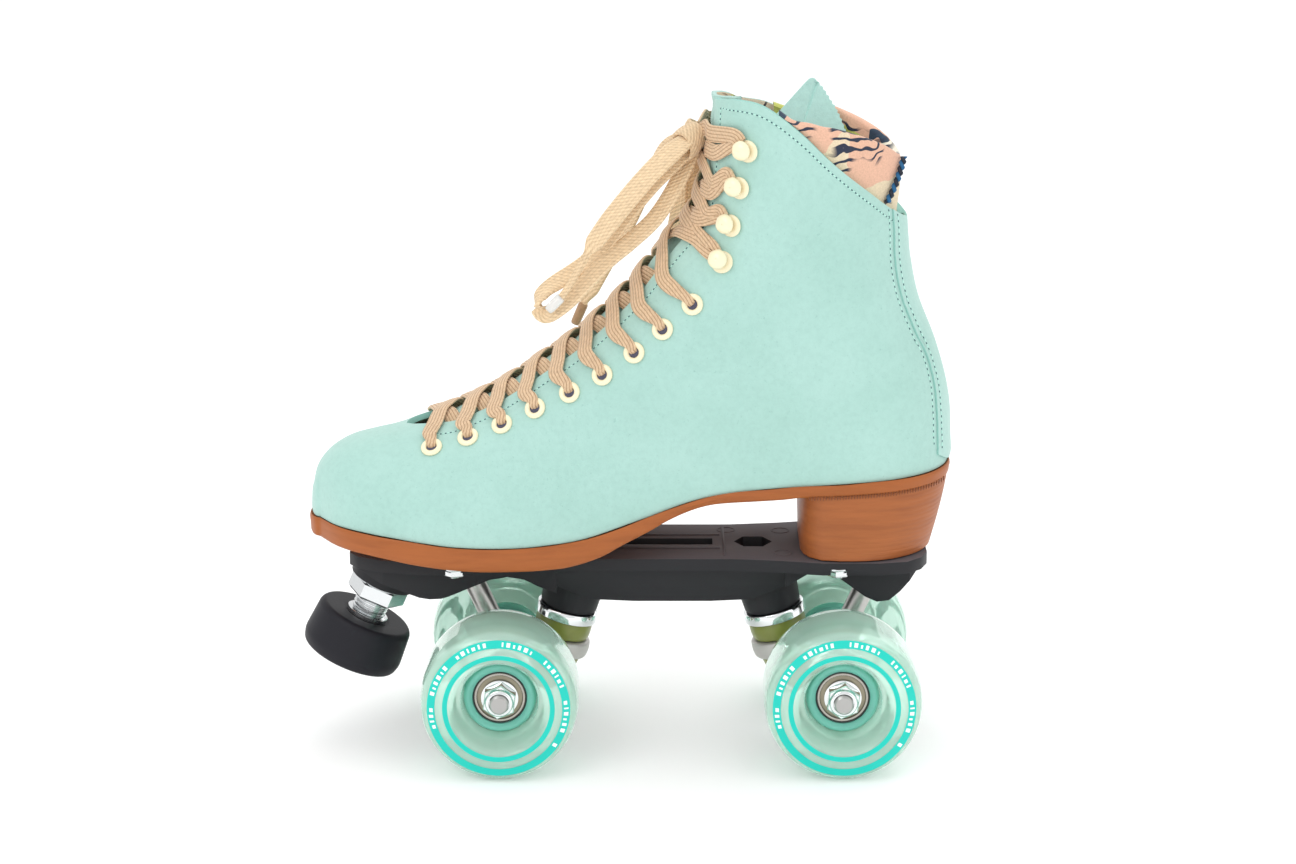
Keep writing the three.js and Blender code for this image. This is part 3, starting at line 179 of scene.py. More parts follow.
def print_material():
    # An abstract print: patches of peach, cream, navy and lime with dark curling strokes.
    m = material("lining_print", (0.85, 0.6, 0.42), 0.85, 0, Sheen_Weight=0.15)
    v = coords(m)
    warp = node(m, "ShaderNodeTexNoise")
    warp.inputs["Scale"].default_value = 60
    link(m, v, warp.inputs["Vector"])
    add = node(m, "ShaderNodeVectorMath", operation="MULTIPLY_ADD")
    link(m, warp.outputs["Color"], add.inputs[0])
    add.inputs[1].default_value = (0.016, 0.016, 0.016)
    link(m, v, add.inputs[2])
    vo = node(m, "ShaderNodeTexVoronoi")
    vo.inputs["Scale"].default_value = 40
    link(m, add.outputs[0], vo.inputs["Vector"])
    sep = node(m, "ShaderNodeSeparateColor")
    link(m, vo.outputs["Color"], sep.inputs[0])
    patches = ramp(m, sep.outputs[0], [(0.0, (0.8, 0.48, 0.34)), (0.22, (0.84, 0.72, 0.55)), (0.44, (0.8, 0.66, 0.46)), (0.6, (0.02, 0.045, 0.08)), (0.76, (0.6, 0.62, 0.16)), (0.84, (0.86, 0.8, 0.66))], "CONSTANT")
    wave = node(m, "ShaderNodeTexWave", wave_type="RINGS")
    wave.inputs["Scale"].default_value = 75
    wave.inputs["Distortion"].default_value = 14
    wave.inputs["Detail"].default_value = 2
    link(m, v, wave.inputs["Vector"])
    gate = noise(m, v, 40, 1)
    lines = ramp(m, wave.outputs["Fac"], [(0.0, (0, 0, 0)), (0.68, (0, 0, 0)), (0.76, (1, 1, 1))], "LINEAR")
    where = ramp(m, gate, [(0.51, (0, 0, 0)), (0.55, (1, 1, 1))])
    mask = mix(m, 1.0, lines, where, "MULTIPLY")
    c = mix(m, mask, patches, (0.02, 0.03, 0.06))
    weave = noise(m, v, 1500, 1)
    c = mix(m, 1.0, c, ramp(m, weave, [(0.3, (0.86, 0.86, 0.86)), (0.7, (1, 1, 1))]), "MULTIPLY")
    link(m, c, bsdf(m).inputs["Base Color"])
    bump(m, weave, 0.25, 0.0004)
    return m


PRINT = print_material()
# dark navy plugs in the eyelet holes: painted shade inside each hole
EYELET_HOLE_SHADE = material("eyelet_hole_painted_shade", (0.09, 0.09, 0.14), 0.9)
ROPE = material("rope_trim", (0.01, 0.11, 0.26), 0.7)
ROPE_DARK = material("rope_trim_dark", (0.01, 0.015, 0.03), 0.7)
FOOTBED = material("footbed_cloth", (0.62, 0.5, 0.34), 0.9)


def lace_material(name, base, ribs):
    m = material(name, base, 0.85, 0, Sheen_Weight=0.2)
    uv = coords(m, "UV")
    w = node(m, "ShaderNodeTexWave", wave_type="BANDS", bands_direction="DIAGONAL")
    w.inputs["Scale"].default_value = 330
    w.inputs["Distortion"].default_value = 1.5
    w.inputs["Detail"].default_value = 1
    link(m, uv, w.inputs["Vector"])
    r = node(m, "ShaderNodeTexWave", wave_type="BANDS", bands_direction="Y")
    r.inputs["Scale"].default_value = 228
    link(m, uv, r.inputs["Vector"])
    v = coords(m)
    n = noise(m, v, 700, 2)
    weave = 0.84 if not ribs else 0.93
    line = (0.6, 0.52, 0.47) if ribs else (0.9, 0.87, 0.83)
    c = mix(m, 1.0, ramp(m, n, [(0.3, tuple(x * 0.88 for x in base)), (0.65, tuple(min(1, x * 1.06) for x in base))]), ramp(m, w.outputs["Fac"], [(0.1, (weave, weave * 0.98, weave * 0.95)), (0.6, (1, 1, 1))]), "MULTIPLY")
    c = mix(m, 1.0, c, ramp(m, r.outputs["Fac"], [(0.02, line), (0.3, (1, 1, 1))]), "MULTIPLY")
    link(m, c, bsdf(m).inputs["Base Color"])
    bump(m, r.outputs["Fac"] if ribs else w.outputs["Fac"], 0.5, 0.0005)
    return m


LACE = lace_material("lace_tan", (0.74, 0.53, 0.34), True)
# the same tan lace, lighter for the bow's loops and ends: the extra lightness is painted light
LACE_LOOP_PAINTED_LIGHT = lace_material("lace_loop_tan_painted_light", (0.86, 0.65, 0.415), False)
# the same tan lace, lighter for the knot: painted light
LACE_KNOT_PAINTED_LIGHT = lace_material("lace_knot_tan_painted_light", (0.8, 0.6, 0.385), False)
AGLET = material("aglet", (0.9, 0.9, 0.88), 0.15, 0, Transmission_Weight=0.3)
ENAMEL = material("enamel_cream", (0.93, 0.84, 0.58), 0.28, 0, Coat_Weight=0.5, Coat_Roughness=0.1)


def rough_plastic(name, base, rough, scale=700, strength=0.15):
    m = material(name, base, rough)
    v = coords(m)
    bump(m, noise(m, v, scale, 3), strength, 0.0003)
    return m


NYLON = rough_plastic("nylon_black", (0.022, 0.0222, 0.025), 0.5)
# the plate's upward faces: the rougher, bumpier texture is the top's own, the much lighter grey is painted light
NYLON_TOP_PAINTED_LIGHT = rough_plastic("nylon_top_painted_light", (0.115, 0.106, 0.116), 0.68, 300, 0.3)
RUBBER = rough_plastic("stop_rubber", (0.014, 0.014, 0.019), 0.5, 500, 0.2)
# a lighter copy of the stop rubber for its top face, painted light; no mesh uses it
RUBBER_TOP_PAINTED_LIGHT = rough_plastic("stop_rubber_top_painted_light", (0.02, 0.02, 0.026), 0.6, 500, 0.2)
for m_ in (NYLON, NYLON_TOP_PAINTED_LIGHT, RUBBER, RUBBER_TOP_PAINTED_LIGHT):
    bsdf(m_).inputs["Specular IOR Level"].default_value = 0.22
ZINC = material("zinc", (0.74, 0.76, 0.77), 0.2, 1.0)
CHROME = material("chrome", (0.83, 0.85, 0.86), 0.1, 1.0)
AXLE = material("axle_steel", (0.46, 0.45, 0.44), 0.35, 1.0)
STEEL = material("bearing_steel", (0.42, 0.39, 0.35), 0.25, 1.0)
SHIELD = material("bearing_shield", (0.3, 0.27, 0.2), 0.33, 1.0)
# a dark ring in the seam between the bearing's outer race and the hub: painted shade of the gap
BEARING_GAP_SHADE = material("bearing_gap_painted_shade", (0.03, 0.035, 0.035), 0.4)
CAST = rough_plastic("cast_alloy", (0.56, 0.54, 0.52), 0.5, 400, 0.25)
bsdf(CAST).inputs["Metallic"].default_value = 0.55
STRUT = material("strut_steel", (0.5, 0.49, 0.47), 0.33, 0.9)
OLIVE = material("cushion_olive", (0.2, 0.225, 0.035), 0.32, 0, Coat_Weight=0.3, Coat_Roughness=0.2)
URETHANE = material("urethane_mint", (0.74, 1.0, 0.88), 0.08, 0, Transmission_Weight=0.62, IOR=1.34, Coat_Weight=0.35, Coat_Roughness=0.05)
# a darker, less clear copy of the urethane for the wheel's recess: painted shade; no mesh uses it
URETHANE_RECESS_SHADE = material("urethane_recess_painted_shade", (0.62, 0.84, 0.68), 0.16, 0, Transmission_Weight=0.42, IOR=1.3)
HUB = material("hub_aqua", (0.28, 0.8, 0.66), 0.18, 0, Transmission_Weight=0.3, IOR=1.4)
INK = material("ink_turquoise", (0.0, 0.6, 0.5), 0.45)
INK_WHITE = material("ink_white", (0.9, 0.95, 0.93), 0.45)


# ------------------------------------------------------------------ mesh helpers
def make(name, verts, faces, mats, body=ROOT, replaces=(), slot=None, smooth=True, matidx=None, uvs=None, doubles=None, raw=False):
    me = bpy.data.meshes.new(name)
    v = np.asarray(verts, float)
    if not raw:
        v = (v + np.array([SHIFT, 0, 0])) / 1000
    me.from_pydata(v.tolist(), [], [list(map(int, f)) for f in faces])
    for m in mats if isinstance(mats, (list, tuple)) else [mats]:
        me.materials.append(m)
    if matidx is not None:
        me.polygons.foreach_set("material_index", np.asarray(matidx, np.int32))
    if uvs is not None:
        layer = me.uv_layers.new(name="UVMap")
        loops = np.zeros(len(me.loops), np.int32)
        me.loops.foreach_get("vertex_index", loops)
        layer.data.foreach_set("uv", np.asarray(uvs, float)[loops].ravel())
    me.polygons.foreach_set("use_smooth", [smooth] * len(me.polygons))
    me.update()
    o = bpy.data.objects.new(name, me)
    scene.collection.objects.link(o)
    bm = bmesh.new()
    bm.from_mesh(me)
    if doubles:
        bmesh.ops.remove_doubles(bm, verts=bm.verts, dist=doubles)
    bmesh.ops.recalc_face_normals(bm, faces=bm.faces)
    bm.to_mesh(me)
    bm.free()
    if body:
        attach(o, body)
    if replaces:
        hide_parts(*([replaces] if isinstance(replaces, str) else replaces))
    return o


def sharp(o, angle=35):
    me = o.data
    if hasattr(me, "set_sharp_from_angle"):
        me.set_sharp_from_angle(angle=math.radians(angle))
    return o


def apply_all(o):
    dg = bpy.context.evaluated_depsgraph_get()
    me = bpy.data.meshes.new_from_object(o.evaluated_get(dg))
    old = o.data
    o.modifiers.clear()
    o.data = me
    bpy.data.meshes.remove(old)
    return o


def grid(rows, close_u=False, close_v=False):
    a = np.array(rows, float)
    n, k = a.shape[:2]
    faces = []
    for i in range(n if close_u else n - 1):
        for j in range(k if close_v else k - 1):
            i2, j2 = (i + 1) % n, (j + 1) % k
            faces.append((i * k + j, i2 * k + j, i2 * k + j2, i * k + j2))
    return a.reshape(-1, 3), faces


def merge(parts):
    vs, fs, n = [], [], 0
    for v, f in parts:
        vs.append(np.asarray(v, float))
        fs += [tuple(i + n for i in t) for t in f]
        n += len(v)
    return np.vstack(vs), fs


def lathe(profile, segs, M):
    """A closed (r, z) profile turned about the local Z axis of M."""
    rows = []
    for k in range(segs):
        a = 2 * math.pi * k / segs
        rows.append([M @ Vector((r * math.cos(a), r * math.sin(a), z)) for r, z in profile])
    return grid([[tuple(p) for p in r] for r in rows], close_u=True, close_v=True)


def rounded(points, radius, n=4):
    """A closed profile with its corners rounded; points may carry their own radius as a third value."""
    out = []
    k = len(points)
    for i in range(k):
        p = np.array(points[i][:2], float)
        r = points[i][2] if len(points[i]) > 2 else radius
        a = np.array(points[i - 1][:2], float)
        b = np.array(points[(i + 1) % k][:2], float)
        la, lb = np.linalg.norm(a - p), np.linalg.norm(b - p)
        d = min(r, la * 0.48, lb * 0.48)
        if d < 1e-4:
            out.append(tuple(p))
            continue
        s, e = p + (a - p) / la * d, p + (b - p) / lb * d
        for t in np.linspace(0, 1, n + 1):
            q = (1 - t) ** 2 * s + 2 * t * (1 - t) * p + t * t * e
            out.append(tuple(q))
    return out


def prism(outline, z0, z1, M, bevel=0.5):
    """A bevelled prism over a closed local XY outline."""
    c = np.mean(np.array(outline), axis=0)
    rows = []
    for z, k in ((z0, bevel), (z0 + bevel, 0), (z1 - bevel, 0), (z1, bevel)):
        ring = []
        for x, y in outline:
            d = np.array([x, y]) - c
            l = np.linalg.norm(d) or 1
            q = c + d * (1 - k / l)
            ring.append(tuple(M @ Vector((q[0], q[1], z))))
        rows.append(ring)
    v, f = grid(rows, close_v=True)
    n = len(outline)
    f.append(tuple(range(n)))
    f.append(tuple(range(3 * n, 4 * n)))
    return v, f


def hexagon(r, phase=0.0):
    return [(r * math.cos(phase + i * math.pi / 3), r * math.sin(phase + i * math.pi / 3)) for i in range(6)]


def T(x, y, z):
    return Matrix.Translation((x, y, z))


def R(ax, a):
    return Matrix.Rotation(a, 4, ax.upper())


# ------------------------------------------------------------------ interpolation
def table(pairs):
    xs = [p[0] for p in pairs]
    ys = [p[1] for p in pairs]
    n = len(pairs)
    sl = []
    for k in range(n):
        a, b = max(k - 1, 0), min(k + 1, n - 1)
        sl.append((ys[b] - ys[a]) / (xs[b] - xs[a]))

    def f(x):
        if x <= xs[0]:
            return ys[0]
        if x >= xs[-1]:
            return ys[-1]
        i = int(np.searchsorted(xs, x))
        h = xs[i] - xs[i - 1]
        t = (x - xs[i - 1]) / h
        t2, t3 = t * t, t * t * t
        return ys[i - 1] * (2 * t3 - 3 * t2 + 1) + ys[i] * (3 * t2 - 2 * t3) + sl[i - 1] * h * (t3 - 2 * t2 + t) + sl[i] * h * (t3 - t2)

    return f


def smooth(a, b, x):
    t = min(1, max(0, (x - a) / (b - a)))
    return t * t * (3 - 2 * t)


# ------------------------------------------------------------------ the boot's own shape
soleIn = table([[-136, 16], [-129, 27], [-122, 33.5], [-115.5, 37], [-109, 40], [-97, 43.5], [-84, 45], [-72, 45], [-60, 44.5], [-48, 43], [-36, 40], [-24, 37], [-12, 34], [0, 31.8], [12, 30], [25, 29], [37, 29.5], [50, 30.5], [62, 31.5], [75, 32.3], [90, 32.5], [125, 32.5]])
soleOut = table([[-136, 5], [-129, 17], [-122, 26], [-115.5, 31], [-109, 35], [-97, 40.5], [-84, 44], [-72, 46], [-60, 47], [-48, 47], [-36, 45.5], [-24, 43], [-12, 40], [0, 37], [12, 34.5], [25, 33], [37, 32.5], [50, 32.5], [62, 33], [75, 33], [90, 32.5], [125, 32.5]])
TOE_X, HEEL_X = -140.4, 125.0
soleTop = table([[-141, 99.6], [-125, 99.4], [-109, 98.3], [-97, 97.4], [-84, 95.7], [-72, 94.7], [-60, 94.4], [-48, 94.6], [-36, 95.2], [-24, 96.8], [-12, 100], [0, 104.3], [12, 108.4], [25, 112.2], [37, 114.5], [50, 115.8], [62, 117.3], [80, 118.2], [93, 119.6], [105, 120.4], [125, 121.2]])
soleBottom = table([[-141, 91.6], [-125, 90.6], [-109, 89.2], [-97, 87.6], [-84, 86], [-72, 84.9], [-60, 84.6], [-36, 84.6], [-30, 85.4], [-24, 86.8], [-17.6, 89], [-11.5, 92.2], [0.8, 98.2], [7, 101.7], [13, 104.5], [19, 106.8], [25, 108.4], [31.5, 109.3], [44, 110.3], [56, 111.4], [62, 112.3], [80, 113.2], [105, 115], [125, 116]])
backX = table([[118, 124.6], [130, 124.8], [142, 124.2], [148, 123.6], [154, 122.9], [160.6, 121.5], [167, 119.6], [173.4, 117.1], [179.8, 114.5], [186, 112], [192.5, 109.6], [199, 108], [205, 106.9], [211, 106.2], [218, 105.8], [224, 105.3], [232, 104.2], [250, 102.5]])
shaftW = table([[118, 31.8], [140, 32.4], [160, 33.6], [175, 33.8], [190, 32.8], [205, 32.2], [225, 33], [250, 35], [282, 36.5]])
FAN = [
    [-139.0, 111.5, -139.8, 101.0, 8], [-137.4, 118.6, -138.4, 100.0, 13], [-134.2, 123.6, -135.2, 99.8, 18], [-129.5, 127.6, -129.8, 99.7, 23],
    [-122.5, 131.0, -122.5, 99.6, 26], [-113.5, 133.2, -113.5, 99.0, 28], [-104.0, 135.2, -103.0, 98.2, 29], [-95.0, 138.4, -92.0, 96.9, 30],
    [-82.0, 142.6, -78.0, 95.3, 31], [-68.5, 148.4, -63.0, 94.6, 32], [-56.8, 154.9, -46.0, 94.8, 33], [-42.7, 164.5, -26.0, 96.6, 34],
    [-29.0, 174.4, -3.0, 103.3, 34], [-15.9, 186.4, 22.0, 111.5, 34], [-4.6, 198.5, 50.0, 116.0, 34], [1.9, 207.6, 80.0, 118.4, 34],
    [8.4, 215.8, 105.0, 120.5, 34], [12.6, 220.6, 120.0, 121.3, 34], [14.7, 223.0, 124.9, 122.4, 34], [17.2, 226.4, 125.0, 132.0, 34],
    [21.4, 236.6, 123.7, 149.5, 34], [22.8, 249.6, 118.2, 170.5, 34], [23.8, 258.6, 110.6, 190.0, 34], [24.2, 265.4, 107.1, 205.4, 34],
    [24.4, 270.2, 105.6, 217.4, 34], [24.4, 274.0, 105.0, 224.5, 34],
]
FANA = np.array(FAN)
ROWS = len(FAN)
DIP = table([[0, 0], [0.03, 2.5], [0.08, 6], [0.2, 9.2], [0.333, 7.3], [0.38, 5.8], [0.5, 2], [0.6, 0], [1, 0]])
BUMP = table([[0, 0.5], [0.048, 3.6], [0.102, 7.4], [0.196, 11.9], [0.257, 13.6], [0.315, 14.0], [0.387, 13.3], [0.473, 11.7], [0.557, 9.2], [0.619, 7.7], [0.68, 6.5], [0.743, 5.3], [0.808, 4.1], [0.872, 2.6], [0.94, 1.2], [1, 0]])


def fanLine(u):
    i = min(ROWS - 2, max(0, int(math.floor(u))))
    t = u - i
    a, b, c, d = (FANA[min(ROWS - 1, max(0, k))] for k in (i - 1, i, i + 1, i + 2))
    return 0.5 * (2 * b + (c - a) * t + (2 * a - 5 * b + 4 * c - d) * t * t + (3 * b - a - 3 * c + d) * t ** 3)


def toeRound(x):
    d = max(0, x - TOE_X)
    return 1 if d > 4.4 else math.sqrt(1 - (1 - d / 4.4) ** 2)


def heelRound(d, length=32):
    return 1 if d >= length else math.sqrt(max(0, 1 - (1 - max(0, d) / length) ** 2))


def bootPoint(u, s, side):
    tx, tz, bx, bz, rnd = fanLine(u)
    x = tx + (bx - tx) * s
    z = tz + (bz - tz) * s
    length = math.hypot(bx - tx, bz - tz)
    foot = soleIn(x) if side < 0 else soleOut(x)
    up = smooth(104, 150, z)
    w = (foot * (1 - up) + shaftW(z) * up) * toeRound(x)
    if u < 12:
        w *= 1 + 0.012 * math.sin(math.pi * min(1, s * 1.1))
    t = min(1, s * length / rnd)
    ft = (1 - (1 - t) ** 2.25) ** (1 / 2.25)
    fb = heelRound(backX(z) - x + 0.02, 36 if z > 175 else 32)
    h = max(0.9, w * ft * fb - 1.1)
    centre = -5 * (1 - smooth(-137, -60, x)) * (1 - ft)
    z += smooth(ROWS - 5, ROWS - 1, u) * (BUMP(s) - (DIP(s) if side > 0 else 0))
    return np.array([x, centre if s == 0 else centre + side * h, z])


def unit(a):
    return a / (np.linalg.norm(a) or 1)


def bootNormal(u, s, side):
    q = lambda uu, ss: bootPoint(min(ROWS - 1, max(0, uu)), min(1, max(0, ss)), side)
    if s < 0.02:
        a = q(u + 0.1, 0) - q(u - 0.1, 0)
        return unit(np.array([-a[2], 0, a[0]]))
    n = unit(np.cross(q(u, s + 0.02) - q(u, s - 0.02), q(u + 0.1, s) - q(u - 0.1, s)))
    return -n if side * n[1] < 0 else n


def s_at_y(u, y):
    side = -1 if y < 0 else 1
    a, b = 0.0, 0.6
    if abs(y) < 0.95:
        return 0.0
    for s in np.arange(0.004, 0.8, 0.004):
        if abs(bootPoint(u, s, side)[1]) >= abs(y):
            a, b = s - 0.004, s
            break
    for _ in range(8):
        c = (a + b) / 2
        if abs(bootPoint(u, max(c, 1e-6), side)[1]) >= abs(y):
            b = c
        else:
            a = c
    return b


def s_from_back(u, y):
    side = -1 if y < 0 else 1
    for s in np.arange(1.0, 0.4, -0.002):
        if abs(bootPoint(u, s, side)[1]) >= abs(y):
            return s
    return 0.4


# ------------------------------------------------------------------ upper
GAP = 15.0
GAP_U = 6.45


def gap_half(u):
    return 0 if u <= GAP_U else GAP * min(1, (u - GAP_U) / 1.7) ** 0.5


def side_sheet(side, us, s0, s1, n, out=0.0, ease=True):
    rows = []
    for u in us:
        a, b = s0(u), s1(u)
        row = []
        for k in range(n):
            t = k / (n - 1)
            if ease:
                t = t * t * (3 - 2 * t) * 0.45 + t * 0.55
            s = a + (b - a) * t
            p = bootPoint(u, s, side)
            if out:
                p = p + bootNormal(u, s, side) * out
            row.append(p)
        rows.append(row)
    return rows


us_all = sorted(set([round(x, 3) for x in np.linspace(0, ROWS - 1, 126)] + [GAP_U + d for d in (0, 0.02, 0.08, 0.18, 0.32, 0.5, 0.75, 1.0, 1.3)]))
GAPS = {(u, sd): (s_at_y(u, sd * gap_half(u)) if gap_half(u) > 0.95 else 0.0) for u in us_all for sd in (-1, 1)}
parts = []
for sd in (-1, 1):
    parts.append(grid(side_sheet(sd, us_all, lambda u: GAPS[(u, sd)], lambda u: 1.0, 46)))
v, f = merge(parts)
upper = make("upper_suede", v, f, [SUEDE, PRINT, SUEDE_EDGE], replaces="boot_upper", slot="suede", doubles=3e-5)
bm = bmesh.new()
bm.from_mesh(upper.data)
c0 = Vector(((-20 + SHIFT) / 1000, 0, 0.12))
probe = min(bm.faces, key=lambda fa: (fa.calc_center_median() - Vector(((-60 + SHIFT) / 1000, -0.045, 0.105))).length)
if probe.normal.y > 0:
    bmesh.ops.reverse_faces(bm, faces=bm.faces)
bm.to_mesh(upper.data)
bm.free()
md = upper.modifiers.new("wall", "SOLIDIFY")
md.thickness = 0.0024
md.offset = -1
md.material_offset = 1
md.material_offset_rim = 2
apply_all(upper)
bv = upper.modifiers.new("edge", "BEVEL")
bv.width = 0.0007
bv.segments = 2
bv.limit_method = "ANGLE"
bv.angle_limit = math.radians(55)
apply_all(upper)
upper.data.polygons.foreach_set("use_smooth", [True] * len(upper.data.polygons))
sharp(upper, 60)

# the middle of the toe's front, between the first rows of the two sides
rows = []
for s in np.linspace(0, 1, 24):
    pa, pb = bootPoint(0, s, -1), bootPoint(0, s, 1)
    wide = float(np.linalg.norm(pb - pa))
    rows.append([pa + (pb - pa) * t - np.array([0.05 * wide * math.sin(math.pi * t), 0, 0]) for t in np.linspace(0, 1, 9)])
v, f = grid(rows)
toe_mid = make("toe_middle", v, f, [SUEDE], slot="suede")
bm = bmesh.new()
bm.from_mesh(toe_mid.data)
if sum(fa.normal.x for fa in bm.faces) > 0:
    bmesh.ops.reverse_faces(bm, faces=bm.faces)
bm.to_mesh(toe_mid.data)
bm.free()
md = toe_mid.modifiers.new("wall", "SOLIDIFY")
md.thickness = 0.0022
md.offset = -1
apply_all(toe_mid)

# tongue: a padded suede strip that bulges up between the two sides
def tongue_rows(depth_mid, extra=0.0):
    rows = []
    for u in np.linspace(6.3, ROWS - 1, 70):
        row = []
        k = 0.62 + 0.38 * smooth(6.3, 8.2, u)
        for y in np.linspace(-23, 23, 25):
            yy = y * k
            s = s_at_y(u, yy)
            sd = -1 if yy < 0 else 1
            a = abs(yy)
            d = 6.4 - (6.4 - depth_mid) * (1 - smooth(6, 15.5, a)) * smooth(6.5, 8.4, u) + extra
            ripple = 0.35 * math.sin(u * 3.1 + 0.06 * y) * smooth(8, 12, u)
            row.append(bootPoint(u, s, sd) + bootNormal(u, s, sd) * (ripple - d))
        rows.append(row)
    return rows


v, f = grid(tongue_rows(1.6))
tongue = make("tongue_suede", v, f, [SUEDE, PRINT], replaces="tongue", slot="suede")
bm = bmesh.new()
bm.from_mesh(tongue.data)
probe = min(bm.faces, key=lambda fa: (fa.calc_center_median() - Vector(((-20 + SHIFT) / 1000, 0, 0.178))).length)
if probe.normal.z < 0:
    bmesh.ops.reverse_faces(bm, faces=bm.faces)
bm.to_mesh(tongue.data)
bm.free()
md = tongue.modifiers.new("pad", "SOLIDIFY")
md.thickness = 0.0021
md.offset = -1
md.material_offset = 1
apply_all(tongue)

# its outer corner, folded back along the outer wall, with a pinked edge
corner = []
edge_pts = [(40, 254), (50, 259.6), (54.2, 263.6), (60.3, 270.2), (64.8, 275.2), (66.4, 276.7), (67.4, 277.0), (68.4, 276.8), (69.3, 275.8)]
right = [(69.3, 275.8), (72.2, 272.3), (74.7, 268.4), (77.1, 264.8), (78.9, 261.3), (80.7, 256.9), (82.0, 253.1), (82.8, 247)]
pink = []
for (x0, z0), (x1, z1) in zip(right, right[1:]):
    n = 4
    for k in range(n):
        t = k / n
        pink.append((x0 + (x1 - x0) * t + (0.34 if k % 2 else -0.14), z0 + (z1 - z0) * t + (0.2 if k % 2 else -0.08)))
edge = edge_pts + pink + [(80, 238), (44, 242)]
rows = []
cx, cz = 62.0, 252.0
for t in np.linspace(1, 0.02, 9):
    ring = []
    for x, z in edge:
        px_, pz_ = cx + (x - cx) * t, cz + (z - cz) * t
        ring.append((px_, 16.6 + 1.0 * math.sin((px_ - 40) * 0.09) + 4.2 * smooth(248, 277, pz_), pz_))
    rows.append(ring)
v, f = grid(rows, close_v=True)
# the corner takes the brighter suede copy: its extra lightness is painted light
flap = make("tongue_corner", v, f, [SUEDE_PAINTED_LIGHT, SUEDE_PAINTED_LIGHT], slot="suede")
md = flap.modifiers.new("wall", "SOLIDIFY")
md.thickness = 0.0015
md.offset = 0
apply_all(flap)
bm = bmesh.new()
bm.from_mesh(flap.data)
bmesh.ops.recalc_face_normals(bm, faces=bm.faces)
bm.to_mesh(flap.data)
bm.free()
flap.data.polygons.foreach_set("use_smooth", [False] * len(flap.data.polygons))

# padded lining that rolls over the collar at the back
rise = table([[0.3, -2.0], [0.42, 1], [0.49, 5], [0.56, 9], [0.634, 13.5], [0.72, 17.5], [0.82, 21.5], [0.91, 24.3], [1, 24.3]])
rows = []
ss = list(np.linspace(0.34, 0.985, 30))
cols = [(s, -1) for s in ss] + [(s, 1) for s in ss[::-1]]
for s, sd in cols:
    col = []
    top = bootPoint(ROWS - 1, s, sd)
    n = bootNormal(ROWS - 1, s, sd)
    r = max(0.5, rise(s))
    inn = -n
    lean = np.array([1.9 * smooth(0.72, 0.97, s), 0, 0])
    # outer face: from inside the wall, up, over a soft roll, and down the inside
    for u in (ROWS - 4.5, ROWS - 3.2, ROWS - 2):
        col.append(bootPoint(u, s, sd) - bootNormal(u, s, sd) * 2.9)
    col.append(top + inn * 2.9)
    for t in (0.3, 0.62, 0.86):
        col.append(top + inn * (2.9 - 0.9 * math.sin(t * math.pi)) + np.array([0, 0, r * t]) + lean * t)
    for a in np.linspace(math.pi * 0.1, math.pi, 6):
        col.append(top + inn * (2.9 + 2.3 * (1 - math.cos(a))) + np.array([0, 0, r + 0.6 + 1.6 * math.sin(a) - 1.0]) + lean)
    for t in (0.75, 0.45, 0.1):
        col.append(top + inn * (7.6 + 0.7 * math.sin(t * math.pi)) + np.array([0, 0, r * t]) + lean * t)
    for u in (ROWS - 2, ROWS - 3.2, ROWS - 4.5, ROWS - 6.3):
        col.append(bootPoint(u, s, sd) - bootNormal(u, s, sd) * 7.4)
    rows.append(col)
v, f = grid(rows)
lining = make("collar_lining_pad", v, f, PRINT, replaces="collar_lining", slot="lining")
md = lining.modifiers.new("sub", "SUBSURF")
md.levels = md.render_levels = 1
apply_all(lining)

# twisted rope trim down the back of the lining
rope_axis = []
for t in np.linspace(1.0, 0.08, 12):
    s = 0.972 - (1 - t) * 0.075
    n = bootNormal(ROWS - 1, s, -1)
    n = unit(n * np.array([1, 1, 0]))
    lean = np.array([1.9 * smooth(0.72, 0.97, s), 0, 0])
    rope_axis.append(bootPoint(ROWS - 1, s, -1) - n * (1.3 - 0.9 * math.sin(t * math.pi)) + np.array([0, 0, (rise(s) - 0.6) * t]) + lean * t)
for colour, phase, nm in ((ROPE, 0, "rope_trim_a"), (ROPE_DARK, math.pi, "rope_trim_b")):
    rows = []
    for k in np.linspace(0, len(rope_axis) - 1, 90):
        i = min(len(rope_axis) - 2, int(k))
        p = rope_axis[i] + (rope_axis[i + 1] - rope_axis[i]) * (k - i)
        a = k * 2.3 + phase
        c = p + np.array([math.cos(a) * 0.6, math.sin(a) * 0.6, 0])
        rows.append([c + np.array([math.cos(b) * 0.9, math.sin(b) * 0.9, 0]) for b in np.linspace(0, 2 * math.pi, 9)[:-1]])
    v, f = grid(rows, close_v=True)
    f += [tuple(range(8)), tuple(range(len(v) - 8, len(v)))]
    make(nm, v, f, colour, slot="lining")

# footbed
rows = []
for x in np.linspace(-133, 118, 50):
    end = min(1, toeRound(x + 2)) * heelRound(HEEL_X - 5 - x, 30) * (0.88 if x < -120 else 1)
    lo, hi = min(-(soleIn(x) * end - 6.0), -2), max(soleOut(x) * end - 6.0, 2)
    rows.append([(x, y, soleTop(x) + 6.6 + 0.9 * (abs(y) / 38) ** 2) for y in np.linspace(lo, hi, 15)])
v, f = grid(rows)
foot = make("footbed_pad", v, f, FOOTBED, replaces="footbed", slot="footbed")
md = foot.modifiers.new("wall", "SOLIDIFY")
md.thickness = 0.003
md.offset = 0
apply_all(foot)

